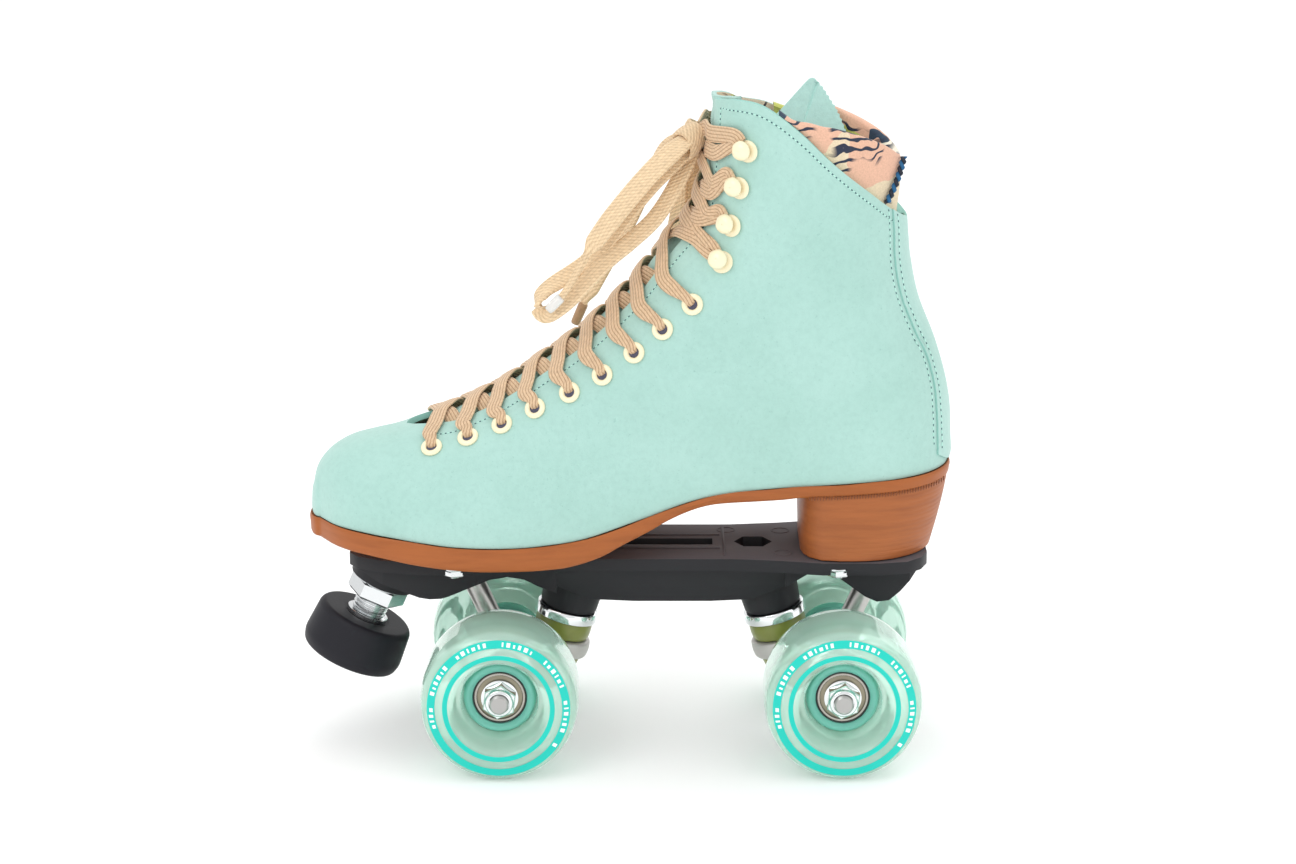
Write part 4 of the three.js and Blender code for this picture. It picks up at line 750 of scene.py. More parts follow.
# backstay strip
rows = []
for u in np.linspace(17.9, ROWS - 1, 60):
    left = [(s, -1) for s in np.linspace(s_from_back(u, -17.5), 0.999, 12)]
    rightc = [(s, 1) for s in np.linspace(0.999, s_from_back(u, 17.5), 12)]
    row = []
    for s, sd in left + rightc:
        n = bootNormal(u, min(s, 0.975), sd)
        if s > 0.95:
            n = unit(n * (1 - (s - 0.95) * 16) + np.array([1, 0, 0.05]) * (s - 0.95) * 16)
        row.append(bootPoint(u, s, sd) + n * 0.9)
    rows.append(row)
v, f = grid(rows)
stay = make("backstay_strip", v, f, [SUEDE, SUEDE_EDGE], replaces="backstay", slot="suede")
bm = bmesh.new()
bm.from_mesh(stay.data)
probe = min(bm.faces, key=lambda fa: (fa.calc_center_median() - Vector(((125 + SHIFT) / 1000, 0, 0.15))).length)
if probe.normal.x < 0:
    bmesh.ops.reverse_faces(bm, faces=bm.faces)
bm.to_mesh(stay.data)
bm.free()
md = stay.modifiers.new("wall", "SOLIDIFY")
md.thickness = 0.0012
md.offset = -1
md.material_offset_rim = 1
apply_all(stay)
bv = stay.modifiers.new("edge", "BEVEL")
bv.width = 0.0004
bv.segments = 2
bv.limit_method = "ANGLE"
apply_all(stay)


# ------------------------------------------------------------------ stitches
def resample(pts, step):
    pts = np.array(pts, float)
    d = np.r_[0, np.cumsum(np.linalg.norm(np.diff(pts[:, :3], axis=0), axis=1))]
    n = max(2, int(d[-1] / step) + 1)
    t = np.linspace(0, d[-1], n)
    return np.stack([np.interp(t, d, pts[:, k]) for k in range(pts.shape[1])], 1)


SPH = []
for i in range(5):
    a = math.pi * i / 4
    SPH.append([(math.cos(a), math.sin(a) * math.cos(b), math.sin(a) * math.sin(b)) for b in np.linspace(0, 2 * math.pi, 7)[:-1]])


def beads(centres, dirs, norms, lx, ly, lz):
    parts = []
    base, faces = grid(SPH, close_v=True)
    for c, d, n in zip(centres, dirs, norms):
        t = unit(d)
        n = unit(n - t * np.dot(n, t))
        b = np.cross(n, t)
        parts.append((c + base[:, :1] * t * lx + base[:, 1:2] * b * ly + base[:, 2:3] * n * lz, faces))
    return merge(parts)


def stitch_line(name, samples, step=3.0, thread=1.05):
    """samples are rows of a point and its normal on the face."""
    q = resample(samples, step)
    p, n = q[:, :3], q[:, 3:]
    d = np.gradient(p, axis=0)
    mid = (p[:-1] + p[1:]) / 2
    v, f = beads(mid + n[:-1] * 0.05, d[:-1], n[:-1], thread, 0.3, 0.28)
    make(name + "_thread", v, f, THREAD, slot="suede")
    # dark dots where the thread enters: painted shade of the needle holes
    v, f = beads(p + n * 0.03, d, n, 0.5, 0.3, 0.2)
    make(name + "_holes", v, f, STITCH_HOLE_SHADE, slot="suede")


def on_face(u, s, sd, lift=0.0):
    n = bootNormal(u, s, sd)
    return list(bootPoint(u, s, sd) + n * lift) + list(n)


def below_top(s, drop):
    """The u that lies drop mm under the collar at s."""
    zt = bootPoint(ROWS - 1, s, -1)[2]
    lo, hi = ROWS - 4.0, ROWS - 1.0
    for _ in range(18):
        m_ = (lo + hi) / 2
        p_ = bootPoint(m_, s, -1)
        if zt - p_[2] > drop:
            lo = m_
        else:
            hi = m_
    return lo


for sd, nm in ((-1, "inner"), (1, "outer")):
    # up the front edge, round the corner and along the collar
    line = []
    for u in np.linspace(7.6, ROWS - 1.75, 110):
        s = s_at_y(u, sd * gap_half(u))
        length = math.hypot(*(fanLine(u)[:2] - fanLine(u)[2:4]))
        line.append(on_face(u, s + 3.0 / length, sd))
    for s in np.linspace(0.1, 0.93, 80):
        line.append(on_face(below_top(s, 4.2 + 0.6 * s), s, sd))
    stitch_line("edge_stitch_" + nm, line, 2.15, 0.75)
    line = []
    for u in np.linspace(18.4, ROWS - 1.3, 60):
        line.append(on_face(u, s_from_back(u, sd * 19.4), sd))
    stitch_line("backstay_stitch_" + nm, line, 2.6, 0.9)
    line = []
    for u in np.linspace(18.4, ROWS - 1.3, 60):
        s = s_from_back(u, sd * 15.4)
        line.append(on_face(u, s, sd, 0.95))
    stitch_line("backstay_stitch2_" + nm, line, 2.6, 0.9)


# ------------------------------------------------------------------ sole and heel
def edge_ring(z_of, grow=0.0, n=150, x_from=None, inset_low=0.0):
    xs = list(TOE_X + 0.15 + 6 * np.linspace(0, 1, 16) ** 2) + list(np.linspace(TOE_X + 6.6, 92, 74)) + list(92 + (HEEL_X + 0.02 - 92) * np.sin(np.linspace(0, math.pi / 2, 26))[1:])
    xs = sorted(set(round(x, 4) for x in xs))
    pts = []
    for sd in (-1, 1):
        row = []
        for x in xs:
            k = toeRound(x) * heelRound(HEEL_X + 0.1 - x, 32)
            w = (soleIn(x) if sd < 0 else soleOut(x)) * k + grow * min(1, k * 1.2)
            c = -5 * (1 - toeRound(x)) if x < -134 else 0
            row.append((x + (grow * (1 - k) * (1 if x > 0 else -1)), c + sd * max(0.5, w), z_of(x)))
        pts += row if sd < 0 else row[::-1]
    return pts


def bars(profile_rows, name, mats, replaces=(), slot="sole", body=ROOT):
    v, f = grid(profile_rows, close_v=True)
    n = len(profile_rows[0])
    half = n // 2
    last = len(profile_rows) - 1
    for r in (0, last):
        for j in range(half - 1):
            f.append((r * n + j, r * n + j + 1, r * n + n - 2 - j, r * n + n - 1 - j))
    return make(name, v, f, mats, body, replaces, slot)


lip = 0.55
rows = [
    edge_ring(lambda x: soleTop(x) - 0.6, -2.2),
    edge_ring(lambda x: soleTop(x) + 0.15, 0.1),
    edge_ring(lambda x: soleTop(x) - 0.35, lip),
    edge_ring(lambda x: soleTop(x) - 1.6, lip + 0.15),
    edge_ring(lambda x: (soleTop(x) * 0.55 + soleBottom(x) * 0.45), lip * 0.8),
    edge_ring(lambda x: soleBottom(x) + 1.2, 0.25),
    edge_ring(lambda x: soleBottom(x) + 0.25, -0.25),
    edge_ring(lambda x: soleBottom(x), -1.2),
]
outsole = bars(rows, "outsole_brown", SOLE, "outsole")
sharp(outsole, 60)

# heel: stacked lifts, tapering down
HF, HB = 62.6, 84.6
hxs = [0, 0.02, 0.06, 0.15, 0.28, 0.4, 0.5, 0.6, 0.68, 0.75, 0.81, 0.86, 0.9, 0.93, 0.955, 0.975, 0.99, 1.0]


heelCorner = table([[0, 0.5], [0.4, 0.6], [1.2, 0.7], [3.6, 0.86], [7.4, 0.965], [12, 1]])


def heel_ring(k, inset, z_of, front_r=0.0):
    back = HEEL_X - inset
    pts = []
    for sd in (-1, 1):
        row = []
        for t in hxs:
            x = HF + k + (back - HF - k) * t
            w = (soleIn(x) if sd < 0 else soleOut(x)) * heelRound(back + 0.1 - x, 32) * heelCorner(x - HF - k) - inset * 0.42 - 0.1
            row.append((x, sd * max(0.5, w), z_of(x)))
        pts += row if sd < 0 else row[::-1]
    return pts


rows = []
levels = []
N = 15
for i in range(N):
    t0 = i / N
    for dt, g in ((0.0, 0.1), (0.16, 0.0), (0.86, 0.0)):
        levels.append((min(1, t0 + dt / N), g))
levels.append((1.0, 0.0))
for t, g in levels:
    inset = 6.6 * (1 - t) ** 1.25 + 0.4
    rows.append(heel_ring(0.7 * (1 - t), inset + g * 0.9, lambda x: HB + (soleBottom(x) + 0.1 - HB) * t))
# chamfer at the bottom
rows.insert(0, heel_ring(1.5, 8.0, lambda x: HB - 0.0))
rows[1] = heel_ring(0.9, 6.9, lambda x: HB + 0.7)
heel = bars(rows, "heel_stack", HEEL, "heel_block")
sharp(heel, 50)
# fine marks round the joint between the sole and the heel
cs, ds, ns = [], [], []
for x in np.arange(66, 122.5, 1.15):
    for sd in (-1, 1):
        k = heelRound(HEEL_X + 0.1 - x, 32)
        w = (soleIn(x) if sd < 0 else soleOut(x)) * k + 0.1
        cs.append(np.array([x, sd * w, soleBottom(x) - 0.2]))
        ds.append(np.array([0.1, 0, 1.0]))
        slope = 0.0 if k == 1 else min(3.0, (32 - (HEEL_X + 0.1 - x)) / 32 / max(0.1, k))
        ns.append(unit(np.array([slope, sd, 0])))
v, f = beads(np.array(cs), np.array(ds), np.array(ns), 1.1, 0.2, 0.3)
make("heel_marks", v, f, GROOVE, slot="sole")


# ------------------------------------------------------------------ eyelets, hooks and laces
EYELETS = [[-88, 132.4], [-73.7, 136.7], [-59.4, 142.2], [-45.5, 149.1], [-31.7, 156.3], [-18.7, 164.2], [-5.7, 173.6], [5.7, 183.2], [17.8, 193.8]]
HOOKS = [[28.6, 212.0], [32.1, 227.2], [35.2, 242.7], [37.5, 257.8]]
GU = np.arange(4, ROWS - 1, 0.06)
GS = np.arange(0.02, 0.7, 0.012)
GRID = np.array([[bootPoint(u, s, -1) for s in GS] for u in GU])
CREST_U = np.arange(6, ROWS - 1, 0.04)
CREST = np.array([bootPoint(u, 0, 1) for u in CREST_U])
ROWS_US = []
for x, z in EYELETS + HOOKS:
    d = np.hypot(GRID[:, :, 0] - x, GRID[:, :, 2] - z)
    i, j = np.unravel_index(np.argmin(d), d.shape)
    ROWS_US.append((GU[i], GS[j]))
CU = []
for u, s in ROWS_US:
    p = bootPoint(u, s, -1)
    CU.append(CREST_U[np.argmin(np.hypot(CREST[:, 0] - p[0], CREST[:, 2] - p[2]))])


def frame_on(p, n, t):
    n = unit(np.array(n, float))
    t = unit(t - n * np.dot(t, n))
    b = np.cross(n, t)
    M = Matrix.Identity(4)
    for k in range(3):
        M[k][0], M[k][1], M[k][2], M[k][3] = t[k], b[k], n[k], p[k]
    return M


EYE = [(2.15, -2.3), (2.15, 0.7), (2.4, 1.15), (2.9, 1.45), (3.5, 1.5), (4.05, 1.25), (4.4, 0.75), (4.5, 0.15), (2.6, 0.05), (2.6, -2.3)]
for sd, nm in ((-1, "inner"), (1, "outer")):
    eye, dark = [], []
    for k, (u, s) in enumerate(ROWS_US):
        p, n = bootPoint(u, s, sd), bootNormal(u, s, sd)
        t = bootPoint(u, s + 0.03, sd) - p
        M = frame_on(p, n, t)
        if k < 9:
            eye.append(lathe(EYE, 28, M))
            # a dark plug in the hole: painted shade
            dark.append(lathe([(0.02, -0.6), (2.35, -0.5), (2.35, 0.42), (1.6, 0.3), (0.02, 0.22)], 20, M))
        else:
            # base disc, bent neck and domed button
            eye.append(lathe([(0.02, 0.1), (4.3, 0.1), (4.6, 0.5), (4.3, 0.95), (0.02, 1.0)], 28, M @ T(2.4, 0, 0)))
            eye.append(lathe([(0.02, 0.5), (2.0, 0.5), (1.7, 2.0), (2.1, 3.4), (0.02, 3.6)], 16, M @ T(1.2, 0, 0)))
            dome = [(0.02, 2.9), (3.0, 2.9), (3.95, 3.15), (4.2, 3.65), (4.0, 4.4), (3.3, 5.2), (2.0, 5.75), (0.9, 5.9), (0.02, 5.95)]
            v, f = lathe(dome, 32, Matrix.Identity(4))
            v = v * np.array([1.0, 0.96, 1.0])
            # the button narrows into its neck on the side of the laces
            pull = np.clip((-v[:, 0] - 2.2) / 2.4, 0, 1)
            v[:, 1] *= 1 - 0.35 * pull
            v[:, 2] -= 0.9 * pull
            v = np.array([tuple(M @ T(0.9, 0, 0) @ Vector(q)) for q in v])
            eye.append((v, f))
    v, f = merge(eye)
    make("eyelets_" + nm, v, f, ENAMEL, replaces="eyelet_row_" + nm, slot="enamel")
    v, f = merge(dark)
    make("eyelet_holes_" + nm, v, f, EYELET_HOLE_SHADE, slot="lining")


def catmull(pts, n):
    P = np.array(pts, float)
    P = np.vstack([2 * P[0] - P[1], P, 2 * P[-1] - P[-2]])
    out = []
    for i in range(1, len(P) - 2):
        a, b, c, d = P[i - 1:i + 3]
        for t in np.linspace(0, 1, n, endpoint=False):
            out.append(0.5 * (2 * b + (c - a) * t + (2 * a - 5 * b + 4 * c - d) * t * t + (3 * b - a - 3 * c + d) * t ** 3))
    out.append(P[-2])
    return np.array(out)


def ribbon(pts, width, thick, ribs=5, n=8, widths=None, thicks=None, ring=36):
    """pts are rows of a point and a normal: a ribbed flat lace along them, as (verts, faces, uvs)."""
    q = catmull(pts, n)
    keep = [0]
    for i in range(1, len(q)):
        if np.linalg.norm(q[i, :3] - q[keep[-1], :3]) > 0.25:
            keep.append(i)
    q = q[keep]
    p = q[:, :3]
    L = np.r_[0, np.cumsum(np.linalg.norm(np.diff(p, axis=0), axis=1))]
    t = np.gradient(p, axis=0)
    t /= np.linalg.norm(t, axis=1)[:, None] + 1e-9
    nn = q[:, 3:6]
    nn = nn - t * np.sum(nn * t, axis=1)[:, None]
    nn /= np.linalg.norm(nn, axis=1)[:, None] + 1e-9
    b = np.cross(nn, t)
    rows, uvs = [], []
    tt = L / L[-1]
    W = np.full(len(p), width) if widths is None else np.interp(tt, *zip(*widths))
    H = np.full(len(p), thick) if thicks is None else np.interp(tt, *zip(*thicks))
    ang = np.linspace(0, 2 * math.pi, ring, endpoint=False)
    for i in range(len(p)):
        row = []
        for k, a in enumerate(ang):
            c, s_ = math.cos(a), math.sin(a)
            x = math.copysign(abs(c) ** 0.6, c) * W[i] / 2
            y = math.copysign(abs(s_) ** 0.55, s_) * H[i] / 2
            if ribs:
                y *= 1 - 0.2 * (1 - abs(math.cos(math.pi * ribs * (x / W[i] + 0.5) + math.pi / 2))) * (1 if abs(c) < 0.96 else 0)
            row.append(p[i] + b[i] * x + nn[i] * y)
            uvs.append((L[i] / 1000, (x + W[i]) / 1000))
        rows.append(row)
    v, f = grid(rows, close_v=True)
    f.append(tuple(range(ring)))
    f.append(tuple(range(len(v) - ring, len(v))))
    return v, f, uvs


def add_ribbons(name, items, mat, **kw):
    v, f = merge([(a, b) for a, b, _ in items])
    uv = [x for it in items for x in it[2]]
    return make(name, v, f, mat, uvs=uv, **kw)


def face_at(u, y, lift, sd=None):
    """A point over the boot's face at y, lift above it."""
    s = s_at_y(u, y)
    sd = (-1 if y < 0 else 1) if sd is None else sd
    n = bootNormal(u, s, sd)
    if abs(y) < 9:
        n0 = bootNormal(u, 0, 1)
        n = unit(n0 * (1 - abs(y) / 9) + n * abs(y) / 9)
    return np.r_[bootPoint(u, s, sd) + n * lift, n]


LW, LT = 6.9, 1.7
# how far up from each row towards the next its two strands cross
CROSS = [0.5, 0.5, 0.48, 0.47, 0.46, 0.45, 0.44, 0.43, 0.34, 0.26, 0.3, 0.4]
strands = []
for i in range(len(ROWS_US) - 1):
    for sd in (-1, 1):
        (u0, s0), (u1, s1) = ROWS_US[i], ROWS_US[i + 1]
        a0, a1 = i < 9, i + 1 < 9
        p0, n0 = bootPoint(u0, s0, sd), bootNormal(u0, s0, sd)
        p1, n1 = bootPoint(u1, s1, -sd), bootNormal(u1, s1, -sd)
        cm = CU[i] + (CROSS[i] + (0.08 if sd < 0 else -0.08)) * (CU[i + 1] - CU[i])
        over = 2.1 if sd < 0 else 0.5
        y0, y1 = abs(p0[1]), abs(p1[1])
        pts = []
        if a0:
            d = unit(bootPoint(u0, max(0.01, s0 - 0.05), sd) - p0)
            pts.append(np.r_[p0 + d * 0.5 - n0 * 2.4, n0])
            pts.append(np.r_[p0 + d * 1.1 + n0 * 0.6, n0])
            pts.append(np.r_[p0 + d * 4.0 + n0 * 1.9, n0])
        else:
            d = unit(bootPoint(u0, max(0.01, s0 - 0.05), sd) - p0)
            up = unit(bootPoint(u0 + 0.3, s0, sd) - p0)
            pts.append(np.r_[p0 + n0 * 1.9 + d * 0.4 + up * 1.8, n0])
            pts.append(np.r_[p0 + n0 * 1.9 + d * 4.4 + up * 2.6, n0])
        ue = CU[i] + (cm - CU[i]) * 0.42
        pts.append(face_at(CU[i] + (cm - CU[i]) * 0.16, sd * max(18.9, (y0 + GAP) / 2 - 0.6), 1.8))
        pts.append(face_at(ue, sd * 14.6, 1.75))
        pts.append(face_at(CU[i] + (cm - CU[i]) * 0.7, sd * 7.5, 0.3 + over))
        pts.append(face_at(cm, 0.0, over))
        pts.append(face_at(cm + (CU[i + 1] - cm) * 0.35, -sd * 7.5, 0.2 + over * 0.5))
        if a1:
            pts.append(face_at(cm + (CU[i + 1] - cm) * 0.6, -sd * 13.4, -1.9))
            pts.append(face_at(cm + (CU[i + 1] - cm) * 0.8, -sd * 18.5, -4.0))
            pts.append(np.r_[p1 - n1 * 3.9, n1])
        else:
            d = unit(bootPoint(u1, max(0.01, s1 - 0.05), -sd) - p1)
            dn = unit(bootPoint(u1 - 0.3, s1, -sd) - p1)
            pts.append(face_at(cm + (CU[i + 1] - cm) * 0.6, -sd * 14.6, 1.75))
            pts.append(face_at(cm + (CU[i + 1] - cm) * 0.85, -sd * max(18.4, (y1 + GAP) / 2 - 1), 1.75))
            pts.append(np.r_[p1 + n1 * 1.8 + d * 4.6 + dn * 1.6, n1])
            pts.append(np.r_[p1 + n1 * 1.8 + d * 0.4 + dn * 0.9, n1])
        w = [(0, 3.0 if a0 else 3.4), (0.05, 3.6), (0.16, LW * 0.93), (0.26, LW), (0.8, LW), (1, LW * 0.85 if a1 else 3.4)]
        h = [(0, 2.4), (0.14, LT), (0.86, LT), (1, LT if a1 else 2.2)]
        strands.append(ribbon(pts, LW, LT, 5, 8, w, h))
        if not a1:
            # the turn round the hook's neck, up to the next strand
            un = unit(bootPoint(u1 + 0.3, s1, -sd) - p1)
            d = unit(bootPoint(u1, max(0.01, s1 - 0.05), -sd) - p1)
            loop = [p1 + n1 * 1.8 + d * 1.2 - un * 1.2, p1 + n1 * 1.8 - d * 0.6 - un * 1.9, p1 + n1 * 1.8 - d * 2.3, p1 + n1 * 1.8 - d * 0.6 + un * 1.9, p1 + n1 * 1.9 + d * 1.2 + un * 1.8]
            strands.append(ribbon([np.r_[q, n1] for q in loop], 2.2, 2.4, 0, 5))
# from the top hooks to the knot
KNOT = np.array([19.0, -5.0, 259.0])
for sd in (-1, 1):
    u0, s0 = ROWS_US[-1]
    p0, n0 = bootPoint(u0, s0, sd), bootNormal(u0, s0, sd)
    d = unit(bootPoint(u0, max(0.01, s0 - 0.05), sd) - p0)
    up = unit(bootPoint(u0 + 0.3, s0, sd) - p0)
    uc = CU[-1]
    pts = [np.r_[p0 + n0 * 1.9 + d * 0.4 + up * 1.8, n0], np.r_[p0 + n0 * 1.9 + d * 4.2 + up * 3.0, n0], face_at(uc + 0.5, sd * 17.5, 1.9), face_at(uc + 0.55, sd * 12, 2.2), np.r_[KNOT + np.array([1.0, sd * 3.0 + 1.0, 0.8]), [-0.9, sd * 0.2, 0.2]]]
    strands.append(ribbon(pts, LW, LT, 5, 8))
# the knot: two turns over a bundle
knot = []
for k, (r, w, off, tilt) in enumerate(((4.3, 6.4, (0, 0.2, 0.4), 0.5), (3.9, 5.8, (-2.6, -0.6, -1.8), 1.1))):
    pts = []
    M = Matrix.Rotation(tilt, 3, "Y")
    for a in np.linspace(0.2, 2 * math.pi + 0.5, 14):
        n = np.array(M @ Vector((math.cos(a), 0.9 * math.sin(a), 0)))
        pts.append(np.r_[KNOT + np.array(off) + n * r * (0.92 if k else 1) + np.array(M @ Vector((0, 0, 0.5 * math.sin(a / 2)))), n])
    knot.append(ribbon(pts, w, 1.9, 4, 4))
# the turn that wraps the roots of the bow
C, axis = np.array([15.4, -12.4, 256.2]), unit(np.array([-8.0, -9.0, -5.0]))
e1 = unit(np.cross(axis, [0, 0, 1]))
e2 = np.cross(axis, e1)
for off, r1, r2, w_ in ((0.0, 5.0, 5.8, 6.6), (-4.6, 4.4, 5.0, 5.2)):
    pts = []
    for a in np.linspace(0, 2 * math.pi + 0.4, 14):
        n = unit(e1 * math.cos(a) / r1 + e2 * math.sin(a) / r2)
        pts.append(np.r_[C + axis * (off + 0.7 * math.sin(a)) + e1 * math.cos(a) * r1 + e2 * math.sin(a) * r2, n])
    knot.append(ribbon(pts, w_, 1.9, 5, 4))
add_ribbons("lace_strands", strands, LACE, replaces="lacing", slot="lace")
# the knot takes the lighter lace copy, painted light
add_ribbons("lace_knot", knot, LACE_KNOT_PAINTED_LIGHT, slot="lace")


def free_lace(name, pts, normal, width, thick, replaces, widths=None, thicks=None, ribs=6):
    P = np.array(pts, float)
    nn = np.array(normal, float)
    if nn.ndim == 1:
        nn = np.repeat(nn[None], len(P), axis=0)
    it = ribbon([np.r_[p, n] for p, n in zip(P, nn)], width, thick, ribs, 8, widths, thicks)
    # the bow pieces take the lighter lace copy, painted light
    o = add_ribbons(name, [it], LACE_LOOP_PAINTED_LIGHT, replaces=replaces, slot="lace")
    q = (catmull(P, 8) + np.array([SHIFT, 0, 0])) / 1000
    length = float(np.sum(np.linalg.norm(np.diff(q, axis=0), axis=1)))
    return o, length


LOOP_NEAR = [[19.6, -5.6, 255.6], [11.4, -17, 240.0], [3.0, -21, 227.4], [-6.8, -24, 218.5], [-16.1, -26, 211.1], [-24.5, -28, 202.8], [-31.3, -29, 195.7], [-37.3, -29.5, 191.0], [-41.5, -29.5, 189.2], [-44.0, -29, 191.7], [-44.0, -28, 195.3], [-41.5, -27, 198.7], [-36.6, -25.5, 201.9], [-30.9, -24.5, 205.3], [-24.8, -24, 209.7], [-17.1, -23, 217.3], [-8.3, -21.5, 229.0], [1.6, -19, 240.5], [11.4, -14, 249.3], [18.4, -7, 255.5]]
LOOP_FAR = [[17.6, -0.6, 256.4], [14.6, 13, 246.5], [13.6, 21.5, 236.1], [13.0, 26.5, 223.4], [11.3, 30.8, 211.4], [9.2, 33.8, 201.0], [7.4, 36, 194.2], [8.2, 38.6, 189.6], [11.8, 39.8, 191.2], [14.6, 39.6, 199.6], [16.6, 37.6, 210.0], [18.6, 33.6, 221.4], [18.8, 29, 232.6], [18.2, 22.6, 242.1], [17.8, 4.4, 254.6]]
END_NEAR = [[19.6, -7.4, 259.6], [15.3, -16, 258.0], [7.4, -23, 252.6], [-1.4, -27, 244.2], [-9.7, -29.5, 234.8], [-18.0, -31.5, 224.4], [-23.4, -32.5, 216.8], [-26.2, -33, 211.6], [-28.8, -33, 207.0], [-31.7, -33, 201.8], [-35.4, -33.5, 196.7]]
END_FAR = [[16.4, -2.4, 256.6], [8.2, 9.6, 250.4], [3.2, 18, 240.2], [-1.9, 25, 229.0], [-7.0, 30.4, 217.0], [-12.8, 34, 205.0], [-18.4, 36.4, 194.4], [-23.6, 38, 184.6], [-27.6, 38.8, 176.8], [-30.4, 39.4, 169.8]]
cords = {}
side_n = (-0.35, -0.88, 0.3)
aglet_pts = catmull(END_NEAR[-2:], 6)
rows = []
ax0, ax1 = np.array([-34.9, -33.5, 197.4]), np.array([-40.2, -33.9, 192.0])
t = unit(ax1 - ax0)
e1 = unit(np.cross(t, [0, 1, 0]))
e2 = np.cross(t, e1)
for k, r in ((0, 1.9), (0.15, 2.1), (0.85, 2.0), (1, 1.7)):
    rows.append([ax0 + (ax1 - ax0) * k + (e1 * math.cos(a) + e2 * math.sin(a)) * r for a in np.linspace(0, 2 * math.pi, 17)[:-1]])
v, f = grid(rows, close_v=True)
f += [tuple(range(16)), tuple(range(48, 64))]
aglet = make("lace_tip_inner", v, f, AGLET, slot="lace")
rows = []
bx0, bx1 = np.array([-27.2, 38.7, 177.6]), np.array([-31.0, 39.5, 168.6])
t = unit(bx1 - bx0)
e1 = unit(np.cross(t, [0, 1, 0]))
e2 = np.cross(t, e1)
for k, r in ((0, 1.9), (0.1, 2.1), (0.9, 2.0), (1, 1.7)):
    rows.append([bx0 + (bx1 - bx0) * k + (e1 * math.cos(a) + e2 * math.sin(a)) * r for a in np.linspace(0, 2 * math.pi, 17)[:-1]])
v, f = grid(rows, close_v=True)
f += [tuple(range(16)), tuple(range(48, 64))]
aglet2 = make("lace_tip_outer", v, f, LACE, slot="lace")
LOOP_N = []
for k in range(len(LOOP_NEAR)):
    turn = math.exp(-((k - 9.3) / 2.0) ** 2)
    a_ = math.pi * (1.52 - 0.32 * (k - 9.3))
    radial = np.array([math.cos(a_), -0.25, math.sin(a_)])
    LOOP_N.append(unit(np.array([-0.35, -0.88, 0.3]) * (1 - turn) + radial * turn))
_, cords["near loop"] = free_lace("bow_loop_inner", LOOP_NEAR, LOOP_N, 7.0, 2.8, "lace_loop_inner")
_, cords["far loop"] = free_lace("bow_loop_outer", LOOP_FAR, (-0.5, -0.8, 0.2), 7.6, 2.4, "lace_loop_outer")
_, cords["near end"] = free_lace("bow_end_inner", END_NEAR, side_n, 8.4, 3.0, "lace_end_inner", [(0, 5), (0.06, 6.4), (0.2, 8.6), (0.6, 8.6), (0.72, 7.4), (0.765, 3.0), (1, 2.6)], [(0, 2.4), (0.66, 3.0), (0.765, 2.7), (1, 2.5)])
_, cords["far end"] = free_lace("bow_end_outer", END_FAR, (-0.5, -0.8, 0.2), 7.2, 2.2, "lace_end_outer", [(0, 6.4), (0.1, 7.2), (0.86, 7.2), (0.91, 3.2), (1, 3.0)], None)
print("CORDS", cords)

# ------------------------------------------------------------------ plate
def copy_cad(name, new, mats, bevel=0.5, body=ROOT, angle=38, top=None):
    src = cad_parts[name]
    me = src.data.copy()
    me.name = new
    me.materials.clear()
    for m in mats:
        me.materials.append(m)
    o = bpy.data.objects.new(new, me)
    scene.collection.objects.link(o)
    bm = bmesh.new()
    bm.from_mesh(me)
    bmesh.ops.remove_doubles(bm, verts=bm.verts, dist=2e-5)
    bmesh.ops.dissolve_limit(bm, angle_limit=math.radians(4), verts=bm.verts, edges=bm.edges)
    for fa in bm.faces:
        fa.material_index = 1 if top and top(fa) else 0
        fa.smooth = True
    bm.to_mesh(me)
    bm.free()
    md = o.modifiers.new("bevel", "BEVEL")
    md.width = bevel / 1000
    md.segments = 3
    md.limit_method = "ANGLE"
    md.angle_limit = math.radians(angle)
    md.use_clamp_overlap = True
    apply_all(o)
    sharp(o, 34)
    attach(o, body)
    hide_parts(name)
    return o


# upward faces over the beam get the lighter top copy of the nylon, painted light
plate = copy_cad("plate", "plate_nylon", [NYLON, NYLON_TOP_PAINTED_LIGHT], 0.7, top=lambda fa: fa.normal.z > 0.9 and fa.calc_center_median().z > 0.0835)

FX, RX, AZ = -60.8, 79.9, 32.5
MID = (FX + RX) / 2
KT = math.radians(15)
PT = 84.2


def kp_frame(rear):
    x = FX + 26.6
    return T(2 * MID - x if rear else x, 0, AZ + 21.6) @ R("y", -KT if rear else KT)


def piv(rear):
    x = FX - 15.6
    return (2 * MID - x if rear else x), AZ + 41.2


def arm_frame(rear):
    px_, pz_ = piv(rear)
    foot_x = RX - 3.2 if rear else FX + 3.2
    return T(px_, 0, pz_) @ R("y", math.atan2(px_ - foot_x, pz_ - AZ))


# smooth kingpin bosses over the beam, and moulded details on the top face
for rear, e in ((False, "front"), (True, "rear")):
    prof = rounded([(5.4, 2.6), (11.9, 2.6, 1.2), (13.35, 21.4, 0.5), (5.4, 21.4)], 0.3)
    v, f = lathe(prof, 64, kp_frame(rear))
    v[:, 2] = np.minimum(v[:, 2], 81.0)
    make("kingpin_boss_" + e, v, f, NYLON, slot="nylon")
details = []
for x, y in ((33, 16.5), (56, -15.5), (56, 15.5), (-20, 15.5)):
    details.append(lathe(rounded([(3.2, PT - 0.2), (4.0, PT - 0.2), (4.0, PT + 0.18), (3.2, PT + 0.18)], 0.08, 2), 28, T(x, y, 0)))
for y in (-9.2, 9.2):
    details.append(prism([(-15, y - 0.5), (30, y - 0.5), (30, y + 0.5), (-15, y + 0.5)], PT - 0.2, PT + 0.35, Matrix.Identity(4), 0.12))
details.append(prism([(31.2, -20), (32.2, -20), (32.2, 20), (31.2, 20)], PT - 0.2, PT + 0.25, Matrix.Identity(4), 0.1))
v, f = merge(details)
